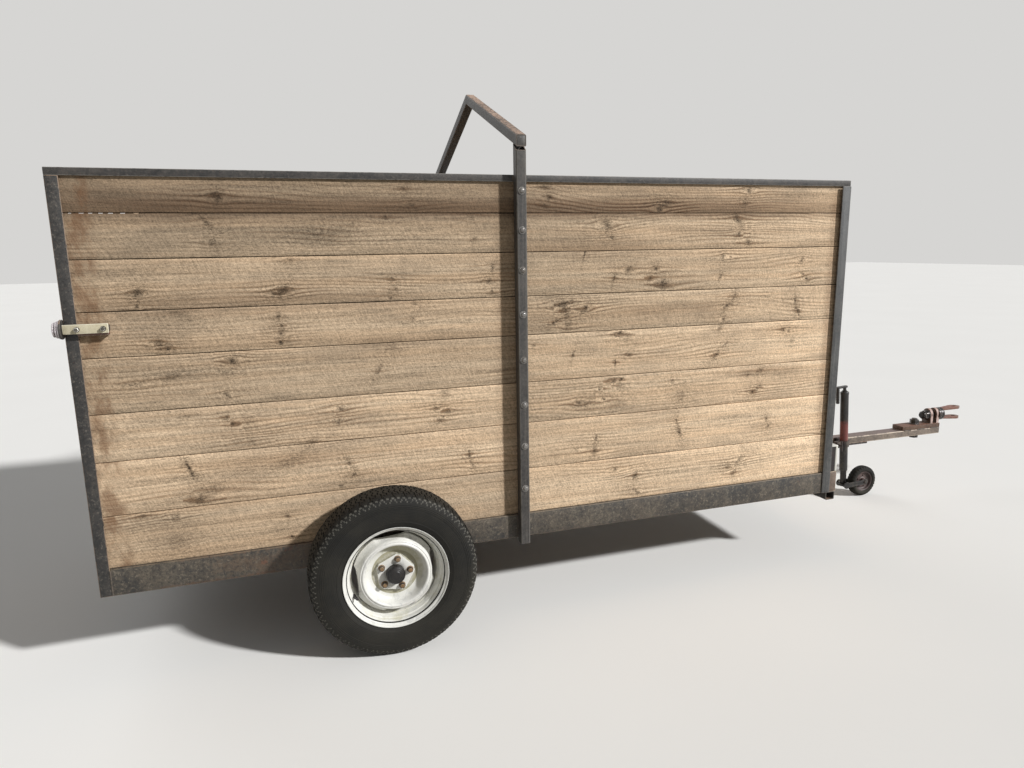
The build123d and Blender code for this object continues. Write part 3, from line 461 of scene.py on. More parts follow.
@dataclass(frozen=True)
class Rubber:
    """Tyre rubber with dust; rings round an axle read from the piece's own place."""

    name: str
    centre: tuple[float, float]
    base: Colour = (17, 17, 16)
    dust: Colour = (78, 74, 64)
    worn: Colour = (140, 137, 128)
    dust_share: float = 0.2

    def material(self) -> bpy.types.Material:
        """Build the rubber.

        Returns:
            The material.
        """
        g = Graph(bpy.data.materials.new(self.name))
        at = g.coords()
        x, _, z = g.split(at)
        dx, dz = x - self.centre[0], z - self.centre[1]
        radius = (dx * dx + dz * dz).root()
        rings = (radius * 1150.0).sine() * 0.5 + 0.5
        cloud = g.noise(at, 9.0, 5.0, 0.62)
        fine = g.noise(at, 240.0, 3.0, 0.65)
        low = z.rise(self.centre[1] + 0.05, 0.0)
        mask = (cloud + fine * 0.3 + low * 0.2).rise(0.5, 0.95) * self.dust_share
        colour = g.mix(mask, self.base, self.dust)
        colour = g.mix((rings ** 3.0) * 0.16, colour, self.dust)
        scuffed = g.attribute("edge") * (fine + cloud * 0.6).rise(0.5, 0.9)
        colour = g.mix(scuffed * 0.48, colour, self.worn)
        colour = g.shaded(colour, 0.8 + fine * 0.4)
        normal = g.bump(fine * 0.7 + rings * 0.25, 0.0005)
        sockets = {"Base Color": colour, "Roughness": 0.72 + mask * 0.25, "Normal": normal}
        return g.surface(sockets | {"Specular IOR Level": 0.3})


@dataclass(frozen=True)
class WheelEnamel:
    """Cream-white wheel enamel with yellow-green grime in its dish and rust at its wells; painted shade
    darkens the dish's upper front side and, together with dirt, its crevices.
    """

    name: str
    centre: tuple[float, float]
    coat: Colour = (227, 226, 220)
    grime_and_shade: Colour = (184, 180, 152)
    dirt_and_shade: Colour = (112, 106, 84)
    dull: Colour = (176, 177, 176)
    rust: Colour = (118, 82, 50)

    def material(self) -> bpy.types.Material:
        """Build the enamel.

        Returns:
            The material.
        """
        g = Graph(bpy.data.materials.new(self.name))
        at = g.coords()
        x, _, z = g.split(at)
        dx, dz = x - self.centre[0], z - self.centre[1]
        radius = (dx * dx + dz * dz).root()
        cloud = g.noise(at, 16.0, 5.0, 0.65)
        fine = g.noise(at, 160.0, 4.0, 0.68)
        dish_grime_and_shade = radius.rise(0.072, 0.086) * radius.rise(0.116, 0.1)
        # Painted shade: more grime towards the dish's upper front side, whose wall faces away from the light
        dish_grime_and_shade = dish_grime_and_shade * (0.55 + (dx * 5.0 + dz * 6.0).most(-0.3).least(0.6))
        well = radius.rise(0.15, 0.158) * radius.rise(0.19, 0.174)
        # The edge attribute marks crevices: their darkening is partly dirt and partly painted shade
        crevice_dirt_and_shade = g.attribute("edge")
        mask = (cloud * 0.95 + fine * 0.35 + dish_grime_and_shade * 0.3 + well * 0.14 + crevice_dirt_and_shade * 0.3).rise(0.72, 1.15)
        smears = g.noise(g.stretch(at, (1.0, 1.0, 0.5)), 34.0, 4.0, 0.62, 0.8)
        colour = g.mix(smears.rise(0.5, 0.66) * 0.42, self.coat, self.dull)
        colour = g.mix(mask, colour, self.grime_and_shade)
        colour = g.mix(crevice_dirt_and_shade * (0.1 + fine * 0.6), colour, self.dirt_and_shade)
        spots = (g.noise(at, 60.0, 5.0, 0.75) + fine * 0.25).rise(0.82, 0.92)
        colour = g.mix(spots * 0.8, colour, self.rust)
        colour = g.shaded(colour, 0.86 + fine * 0.28)
        normal = g.bump(fine + spots * 0.6, 0.0004)
        roughness = 0.38 + mask * 0.3 + spots * 0.3
        return g.surface({"Base Color": colour, "Roughness": roughness, "Normal": normal})


@dataclass(frozen=True)
class Moulding:
    """Moulded plastic: a plain colour with scuffs and dust."""

    name: str
    base: Colour
    dust: Colour = (120, 110, 96)
    dust_share: float = 0.3
    rough: float = 0.4

    def material(self) -> bpy.types.Material:
        """Build the plastic.

        Returns:
            The material.
        """
        g = Graph(bpy.data.materials.new(self.name))
        at = g.coords()
        cloud = g.noise(at, 30.0, 4.0, 0.62)
        fine = g.noise(at, 300.0, 3.0, 0.6)
        mask = (cloud + fine * 0.25).rise(0.5, 0.95) * self.dust_share
        colour = g.mix(mask, self.base, self.dust)
        colour = g.shaded(colour, 0.86 + fine * 0.28)
        roughness = self.rough + mask * 0.5
        return g.surface({"Base Color": colour, "Roughness": roughness, "Normal": g.bump(fine, 0.0002)})


# Places that several parts share: the wheels' centres in X and Z, the body's rear end, the frame's underside
WHEEL_CENTRE = (-1.33825, 0.3125)
JOCKEY_CENTRE = (1.557882, 0.09)
BODY_REAR = -2.34325
FRAME_FOOT = 0.31

DUST = (150, 126, 108)
FRAME_PAINT = WornPaint(
    "frame_paint_worn", (44, 42, 41), (72, 69, 66), rust_share=0.22, streaks=0.35, speckle=0.3,
    chalk=(108, 104, 98), edge=(112, 108, 102), top=DUST, top_share=0.85,
)
RAIL_PAINT = WornPaint(
    "rail_paint_worn", (50, 49, 48), (88, 80, 70), rust=(90, 62, 46), rust_share=0.24,
    foot_rust=0.3, chalk=(138, 128, 112), chalk_share=0.3, speckle=0.62,
    edge=(126, 110, 90), top=DUST, top_share=0.5,
    patches=(
        Patch((98, 78, 62), (-2.02, 0.300), (-1.40, 0.420), 0.55, 0.09),
        Patch((104, 74, 58), (-2.10, 0.398), (-1.50, 0.416), 0.6, 0.016),
        Patch((104, 78, 60), (-2.16, 0.300), (-1.62, 0.326), 0.6, 0.018),
        Patch((142, 82, 60), (-1.735, 0.384), (-1.690, 0.406), 0.75, 0.02),
        Patch((128, 82, 62), (-1.815, 0.344), (-1.775, 0.372), 0.6, 0.02),
    ),
)
CROSS_RAIL_PAINT = WornPaint(
    "cross_rail_paint", (98, 84, 74), (128, 110, 98), rust_share=0.2, speckle=0.25, chalk=(150, 132, 116),
    edge=(196, 176, 152), edge_share=0.9, top=DUST, top_share=0.5,
)
POST_PAINT_AND_SHADE = WornPaint(
    "front_post_paint_and_shade", (60, 61, 62), (84, 84, 83), rust_share=0.14, foot_rust=0.3,
    # The darker upper stretch is painted shade that damps the sky's sheen on the post's upper part
    patches=(Patch((50, 51, 52), (0.650, 1.150), (0.850, 2.000), 0.6, 0.2),),
    streaks=0.4, speckle=0.22, chalk=(118, 118, 116), edge=(138, 132, 126),
)
REAR_POST_PAINT = WornPaint(
    "rear_post_paint", (33, 33, 33), (58, 56, 54), rust_share=0.18, foot_rust=0.6, chalk=(106, 100, 92),
    speckle=0.8, edge=(150, 128, 108), edge_share=0.8,
)
TOP_PAINT = WornPaint(
    "top_paint_worn", (46, 45, 45), (74, 71, 68), rust_share=0.18, speckle=0.5, chalk=(110, 104, 98),
    top=DUST, top_share=0.5,
)
# Near-black coat, darker than the hoop posts', is painted shade on the rafters' rear-facing sides; their
# light tops are dust
RAFTER_PAINT_AND_SHADE = WornPaint(
    "rafter_paint_and_painted_shade", (34, 32, 30), (52, 49, 46), rust_share=0.16, speckle=0.25, chalk=(84, 78, 72),
    edge=(100, 88, 78), top=(176, 148, 128), top_share=1.0,
)
DRAWBAR_PAINT = WornPaint(
    "drawbar_paint_worn", (100, 90, 82), (138, 125, 113), rust_share=0.2, chalk_share=0.5,
    chalk=(168, 152, 136), edge=(206, 190, 172), edge_share=0.9, speckle=0.25,
    top=(120, 104, 102), top_share=1.0,
    patches=(
        Patch((92, 72, 66), (1.30, 0.300), (1.62, 0.346), 0.75, 0.05),
        Patch((178, 96, 70), (1.46, 0.302), (1.68, 0.320), 0.9, 0.014),
    ),
)
PRIMER = WornPaint(
    "red_primer_worn", (66, 46, 38), (108, 84, 68), rust_share=0.2, chalk_share=0.2, chalk=(140, 116, 94),
    edge=(206, 178, 168), edge_share=0.8, top=(124, 90, 76), top_share=0.8,
)
CLEVIS_PAINT = WornPaint(
    "clevis_rust", (96, 66, 56), (138, 98, 82), rust=(140, 78, 52), rust_share=0.45,
    edge=(176, 146, 132), edge_share=0.7, top=(150, 106, 96), top_share=0.6,
    patches=(Patch((126, 118, 110), (2.33, 0.37), (2.40, 0.48), 0.8, 0.03),),
)
CLAMP_PAINT = WornPaint(
    "clamp_paint_dark", (36, 32, 31), (58, 48, 46), rust=(122, 62, 46), rust_share=0.3,
    edge=(150, 112, 100), edge_share=0.7,
)
BARE_STEEL = WornPaint(
    "bare_steel_rusty", (52, 46, 44), (78, 68, 64), rust_share=0.25, chalk_share=0.1, metal=0.35,
    rough=0.45, edge=(190, 184, 178), edge_share=0.9,
)
GREASY_STEEL = WornPaint(
    "greasy_steel", (26, 24, 24), (44, 40, 39), rust_share=0.15, chalk_share=0.1, metal=0.3, rough=0.32,
    edge=(176, 170, 166), edge_share=0.9,
)
BRIGHT_STEEL = WornPaint(
    "bright_steel", (160, 152, 154), (112, 106, 108), rust_share=0.12, chalk_share=0.1, metal=0.25,
    rough=0.34, edge=(214, 206, 208), edge_share=0.8,
)
BOLT_STEEL = WornPaint(
    "bolt_steel_zinc", (140, 138, 136), (104, 100, 96), rust_share=0.18, metal=0.55, rough=0.28,
    edge=(220, 218, 214), edge_share=0.9,
)
WHEEL_BOLT = WornPaint(
    "wheel_bolt_rusty", (112, 86, 58), (150, 118, 82), rust=(104, 72, 44), rust_share=0.25,
    edge=(186, 158, 124), edge_share=0.8,
)
STRAP_BOLT = WornPaint(
    "strap_bolt_steel", (94, 92, 84), (70, 68, 62), rust_share=0.1, metal=0.2, rough=0.3,
    edge=(224, 222, 214), edge_share=1.0,
)
PACKING_RUST = WornPaint("packing_rust", (92, 58, 46), (116, 80, 66), rust=(78, 46, 36), rust_share=0.4)
HUB_STEEL = WornPaint("hub_steel_dark", (22, 21, 20), (36, 33, 31), rust_share=0.15)
ZINC = WornPaint(
    "dull_zinc", (206, 198, 170), (190, 180, 152), rust_share=0.08, chalk_share=0.4,
    chalk=(228, 220, 196), speckle=0.1, edge=(232, 226, 206), edge_share=0.9, rough=0.5,
)
WELD_METAL = WornPaint("weld_metal", (66, 60, 54), (94, 84, 74), rust=(110, 72, 50), rust_share=0.3)
STAND_PAINT = WornPaint(
    "stand_paint_scuffed", (30, 29, 29), (48, 46, 46), rust_share=0.14, rough=0.38,
    edge=(120, 112, 106),
    patches=(Patch((128, 66, 60), (1.350, 0.340), (1.48, 0.490), 0.85, 0.035),),
)
WHEEL_CENTRE_PAINT = WornPaint(
    "wheel_centre_paint", (48, 40, 38), (82, 68, 66), rust_share=0.3, chalk_share=0.5,
    chalk=(140, 118, 112), speckle=0.3,
)
TYRE_RUBBER = Rubber("tyre_rubber", WHEEL_CENTRE)
JOCKEY_RUBBER = Rubber("jockey_rubber", JOCKEY_CENTRE, dust_share=0.45)
RIM_ENAMEL = WheelEnamel("wheel_enamel", WHEEL_CENTRE)
CAP_PLASTIC = Moulding("grease_cap", (22, 20, 20), dust=(70, 62, 56), rough=0.42)
LAMP_BASE = Moulding("lamp_base", (32, 28, 28), dust=(84, 66, 60), dust_share=0.5)
LAMP_LENS = Moulding("lamp_lens", (226, 224, 216), dust=(180, 172, 150), rough=0.22)
REAR_POST_X = -2.268
SIDE_TIMBER = Planks("side_timber", Run.FORWARD_UPRIGHT, rust_x=REAR_POST_X)
CROSS_TIMBER = Planks("cross_timber", Run.ACROSS_UPRIGHT)
FLOOR_TIMBER = Planks(
    "floor_timber", Run.FORWARD_FLAT, pale=(168, 148, 124), mid=(146, 124, 102), grey=(110, 98, 84),
    grey_share=0.8,
)

Finish = WornPaint | Planks | Rubber | WheelEnamel | Moulding


@cache
def material_of(finish: Finish) -> bpy.types.Material:
    """The material of a finish, built once."""
    return finish.material()


NODE_FINISH: dict[str, Finish] = {
    node: finish
    for finish, nodes in (
        (RAIL_PAINT, "side_rails rear_sill"),
        (FRAME_PAINT, "cross_members front_under_tube inner_wall_bars hoop_posts axle_beam axle_brackets"),
        (FRAME_PAINT, "spindles gate_frame sill_hinges latch_bars"),
        (CROSS_RAIL_PAINT, "front_cross_rail"),
        (POST_PAINT_AND_SHADE, "corner_posts"),
        (TOP_PAINT, "top_rails"),
        (RAFTER_PAINT_AND_SHADE, "hoop_rafters"),
        (DRAWBAR_PAINT, "drawbar"),
        (FLOOR_TIMBER, "floor_planks"),
        (SIDE_TIMBER, "right_boards_rear right_boards_front left_boards_rear left_boards_front"),
        (CROSS_TIMBER, "front_boards gate_boards gate_cleats"),
        (PRIMER, "hitch_bar"),
        (GREASY_STEEL, "hitch_bolt swivel_shaft jockey_stem"),
        (CLEVIS_PAINT, "clevis"),
        (CLAMP_PAINT, "jockey_clamp"),
        (STAND_PAINT, "jockey_tube jockey_crank jockey_fork"),
        (JOCKEY_RUBBER, "jockey_tyre"),
        (WHEEL_CENTRE_PAINT, "jockey_wheel_centre"),
        (BRIGHT_STEEL, "gate_screws"),
        (ZINC, "latch_straps"),
        (LAMP_BASE, "front_markers"),
        (LAMP_LENS, "front_marker_lenses"),
        (TYRE_RUBBER, "tyre_right tyre_left"),
        (RIM_ENAMEL, "rim_right rim_left"),
        (HUB_STEEL, "hub_right hub_left"),
        (CAP_PLASTIC, "hub_cap_right hub_cap_left"),
    )
    for node in nodes.split()
}


# Mesh helpers


def body_of_node(node: str) -> str:
    """The body that a CAD node rides on."""
    bodies = frame["record"]["behaviour"]["bodies"]
    return next(body for body, members in bodies.items() if node in members)


def copy_of(node: str) -> BMesh:
    """A merged copy of a CAD node's mesh with its flat faces joined.

    Args:
        node: the CAD node.
    Returns:
        The copy.
    """
    bm = bmesh.new()
    bm.from_mesh(frame["nodes"][node].data)
    bmesh.ops.remove_doubles(bm, verts=bm.verts, dist=2e-6)
    bmesh.ops.dissolve_limit(
        bm, angle_limit=math.radians(0.4), use_dissolve_boundaries=False, verts=bm.verts, edges=bm.edges
    )
    return bm


def set_corners(faces: Iterable[BMFace], layer: BMLayerItem, value: float) -> None:
    """Give every corner of some faces one value of an attribute.

    Args:
        faces: the faces.
        layer: the attribute.
        value: the value.
    """
    for face in faces:
        for loop in face.loops:
            loop[layer] = value


def edge_layer(bm: BMesh) -> BMLayerItem:
    """The attribute that marks worn edges, and on the wheel's disc and rim band the crevices that dirt and
    painted shade darken.
    """
    return bm.loops.layers.float.get("edge") or bm.loops.layers.float.new("edge")


def bevel(
    bm: BMesh, geom: Sequence[object], width: float, segments: int = 2, affect: str = "EDGES"
) -> list[BMFace]:
    """Round some edges or vertices.

    Args:
        bm: the mesh.
        geom: the edges or vertices.
        width: width of the rounding.
        segments: rounding segments.
        affect: EDGES or VERTICES.
    Returns:
        The rounded faces.
    """
    return bmesh.ops.bevel(
        bm, geom=geom, offset=width, offset_type="OFFSET", segments=segments, profile=0.5,
        affect=affect, material=-1, clamp_overlap=True,
    )["faces"]


def bevel_sharp(bm: BMesh, width: float, segments: int = 2, angle: float = 40.0) -> None:
    """Round the sharp edges of a closed mesh and mark the rounded faces as worn edges.

    Args:
        bm: the mesh.
        width: width of the rounding.
        segments: rounding segments.
        angle: edges sharper than this many degrees are rounded.
    """
    layer = edge_layer(bm)
    limit = math.radians(angle)
    sharp = [e for e in bm.edges if e.is_manifold and e.calc_face_angle(0.0) > limit]
    set_corners(bevel(bm, sharp, width, segments), layer, 1.0)


def mark_edge_faces(bm: BMesh, test: Callable[[BMFace], bool], wear: float = 1.0) -> None:
    """Mark the faces that pass a test in the edge attribute: worn faces, and on the wheel's disc and rim
    band the crevices that dirt and painted shade darken.

    Args:
        bm: the mesh.
        test: says whether a face is worn.
        wear: how strongly they are marked.
    """
    layer = edge_layer(bm)
    bm.normal_update()
    set_corners((face for face in bm.faces if test(face)), layer, wear)


def push(bm: BMesh, faces: Sequence[BMFace], move: Callable[[Vector], Vector]) -> set[BMFace]:
    """Extrude faces and move what was extruded.

    Args:
        bm: the mesh.
        faces: the faces.
        move: gives how far a vertex goes from its place.
    Returns:
        The moved faces.
    """
    made = bmesh.ops.extrude_face_region(bm, geom=faces)["geom"]
    for item in made:
        if isinstance(item, BMVert):
            item.co += move(item.co)
    bmesh.ops.delete(bm, geom=faces, context="FACES")
    return {item for item in made if isinstance(item, BMFace)}


def polar(place: Vector) -> tuple[float, float]:
    """Distance of a place from the Z axis, and its angle about it in turns."""
    return math.hypot(place.x, place.y), math.atan2(place.y, place.x) / math.tau


def draw_in(vert: BMVert, share: float) -> None:
    """Scale a vertex's distance from the Z axis."""
    vert.co.x *= share
    vert.co.y *= share


def worn_tube(node: str) -> BMesh:
    """A copy of a CAD tube whose narrow corner faces are marked as worn.

    Args:
        node: the CAD node.
    Returns:
        The copy.
    """
    bm, widest = copy_of(node), 0.0035
    mark_edge_faces(bm, lambda face: 2.0 * face.calc_area() / max(face.calc_perimeter(), 1e-6) < widest)
    return bm


def bar(low: Sequence[float], high: Sequence[float], width: float = 0.0, segments: int = 2) -> BMesh:
    """A rectangular bar between two corners.

    Args:
        low: lowest corner.
        high: highest corner.
        width: width of its rounded edges.
        segments: rounding segments.
    Returns:
        The bar.
    """
    low, high = Vector(low), Vector(high)
    bm = bmesh.new()
    bmesh.ops.create_cube(bm, size=1.0)
    bm.transform(Matrix.Translation((low + high) / 2) @ Matrix.Diagonal((*(high - low), 1.0)))
    if width:
        bevel_sharp(bm, width, segments)
    return bm


def loose_boxes(node: str) -> list[tuple[Vector, Vector]]:
    """Measure each separate solid of a CAD node.

    Args:
        node: the CAD node.
    Returns:
        Their lowest and highest corners, from the bottom up.
    """
    bm = copy_of(node)
    left = set(bm.verts)
    boxes = []
    while left:
        group, front = set(), [left.pop()]
        while front:
            vert = front.pop()
            group.add(vert)
            for edge in vert.link_edges:
                other = edge.other_vert(vert)
                if other in left:
                    left.discard(other)
                    front.append(other)
        low = Vector([min(v.co[i] for v in group) for i in range(3)])
        high = Vector([max(v.co[i] for v in group) for i in range(3)])
        boxes.append((low, high))
    bm.free()
    return sorted(boxes, key=lambda pair: (round(pair[0].z, 4), round(pair[0].y, 4)))


def lathe(profile: Profile, steps: int, round_by: float = 0.0) -> BMesh:
    """Turn a profile about Z.

    Args:
        profile: its (radius, height) points in order, in millimetres.
        steps: steps of the full turn.
        round_by: how far its inner corners are cut back, in millimetres.
    Returns:
        The turned mesh.
    """
    bm = bmesh.new()
    verts = [bm.verts.new((r * MM, 0.0, h * MM)) for r, h in profile]
    for a, b in zip(verts, verts[1:]):
        bm.edges.new((a, b))
    if round_by:
        bevel(bm, verts[1:-1], round_by * MM, 1, "VERTICES")
    bmesh.ops.spin(
        bm, geom=bm.verts[:] + bm.edges[:], cent=(0, 0, 0), axis=(0, 0, 1), angle=math.tau,
        steps=steps, use_merge=True, use_duplicate=False,
    )
    bmesh.ops.remove_doubles(bm, verts=bm.verts, dist=1e-6)
    return bm


def rod(radius: float, low: float, high: float, steps: int) -> BMesh:
    """A round rod or disc on Z between two heights, in millimetres."""
    return lathe(((0.0, low), (radius, low), (radius, high), (0.0, high)), steps)


def both_flanks(half: Profile, middle: float = 0.0) -> list[tuple[float, float]]:
    """Lathe profile from one flank's (offset from the middle, radius) points and their mirror image."""
    return [(r, middle + a) for a, r in half] + [(r, middle - a) for a, r in reversed(half)]


def join_into(target: BMesh, part: BMesh, place: Matrix | None = None) -> None:
    """Add a part to a mesh and free the part.

    Args:
        target: the mesh.
        part: the part.
        place: where the part goes, if it isn't in place already.
    """
    if place is not None:
        part.transform(place)
    mesh = bpy.data.meshes.new("joined")
    part.to_mesh(mesh)
    part.free()
    target.from_mesh(mesh)
    bpy.data.meshes.remove(mesh)


def mirrored(part: Callable[[], BMesh]) -> BMesh:
    """A part of the right-hand side together with its mirror image.

    Args:
        part: builds the part.
    Returns:
        Both.
    """
    whole = bmesh.new()
    join_into(whole, part())
    join_into(whole, part(), Matrix.Scale(-1, 4, (0, 1, 0)))
    return whole


def facing(direction: Sequence[float], at: Sequence[float] = (0.0, 0.0, 0.0)) -> Matrix:
    """Matrix that turns Z to a direction and then moves the origin to a place."""
    return Matrix.Translation(at) @ Vector(direction).to_track_quat("Z", "Y").to_matrix().to_4x4()


def cylinder(radius: float, height: float, sides: int) -> BMesh:
    """A closed prism on Z with its foot at the origin.

    Args:
        radius: its radius over the corners.
        height: its height.
        sides: number of its sides.
    Returns:
        The prism.
    """
    bm = bmesh.new()
    bmesh.ops.create_cone(
        bm, cap_ends=True, segments=sides, radius1=radius, radius2=radius, depth=height,
        matrix=Matrix.Translation((0, 0, height / 2)),
    )
    return bm


def hex_head(across: float, height: float, worn: float = 0.0) -> BMesh:
    """A hexagon bolt head or nut on Z with a chamfered top.

    Args:
        across: size across its flats.
        height: its height.
        worn: width of its worn edges.
    Returns:
        The head.
    """
    bm = cylinder(across / math.sqrt(3), height, 6)
    bevel(bm, [e for e in bm.edges if all(v.co.z > height * 0.9 for v in e.verts)], height * 0.16)
    if worn:
        bevel_sharp(bm, worn)
    return bm


def round_head(radius: float, height: float) -> BMesh:
    """A domed bolt head on a washer, on Z.

    Args:
        radius: radius of the dome's foot in millimetres.
        height: its height in millimetres.
    Returns:
        The head.
    """
    shares = (
        # share of the radius, share of the height
        (0.0, 0.0), (1.55, 0.0), (1.55, 0.22), (1.02, 0.28), (1.0, 0.6), (0.72, 0.9), (0.0, 1.0),
    )
    return lathe([(radius * r, height * h) for r, h in shares], 20, height * 0.06)


def weld_bead(start: Vector, end: Vector, radius: float, seed: int) -> BMesh:
    """A rippled weld bead between two points.

    Args:
        start: one end.
        end: the other end.
        radius: radius of the bead.
        seed: seed of its ripples.
    Returns:
        The bead.
    """
    rng = random.Random(seed)
    length = (end - start).length
    count = max(4, int(length / (radius * 0.9)))
    bm = cylinder(radius, length, 8)
    sides = [e for e in bm.edges if abs(e.verts[0].co.z - e.verts[1].co.z) > length / 2]
    bmesh.ops.subdivide_edges(bm, edges=sides, cuts=count, use_grid_fill=True)
    for vert in bm.verts:
        step = round(vert.co.z / length * (count + 1))
        swell = (1.12 if step % 2 else 0.86) + rng.uniform(-0.05, 0.05)
        draw_in(vert, 0.45 if step in (0, count + 1) else swell)
    bm.transform(facing(end - start, start))
    return bm


@dataclass
class SubAssembly:
    """A group of pieces that are built and dressed together."""

    def add(
        self, name: str, bm: BMesh, finish: Finish, like: str, replaces: bool = False,
        sharp: float = 32.0,
    ) -> None:
        """Turn a finished bmesh into a piece on its body.

        Args:
            name: the piece's name.
            bm: its mesh, in the frame's axes; it is freed.
            finish: its finish.
            like: a CAD node whose body it takes.
            replaces: whether it stands for that node.
            sharp: edges sharper than this many degrees stay sharp.
        """
        bmesh.ops.remove_doubles(bm, verts=bm.verts, dist=1e-6)
        bmesh.ops.recalc_face_normals(bm, faces=bm.faces)
        bm.normal_update()
        looks_up = bm.loops.layers.float.new("up")
        set_corners((face for face in bm.faces if face.normal.z > 0.6), looks_up, 1.0)
        mesh = bpy.data.meshes.new(name)
        bm.to_mesh(mesh)
        bm.free()
        mesh.polygons.foreach_set("use_smooth", [True] * len(mesh.polygons))
        mesh.set_sharp_from_angle(angle=math.radians(sharp))
        mesh.materials.append(material_of(finish))
        piece = bpy.data.objects.new(name, mesh)
        bpy.context.scene.collection.objects.link(piece)
        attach(piece, body_of_node(like))
        if replaces:
            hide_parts(like)
        LOG.info("piece %s: %d faces", name, len(mesh.polygons))

    def stand_in(self, name: str, bm: BMesh, node: str, sharp: float = 32.0) -> None:
        """Add a piece that stands for a CAD node and has its finish."""
        self.add(name, bm, NODE_FINISH[node], node, True, sharp)


# Planking


@dataclass(frozen=True)
class Knot:
    """A knot in a board: its place on the board's face, its size and its look."""

    along: float
    across: float
    radius: float
    stretch: float = 1.0
    tilt: float = 0.0
    dark: float = 0.6


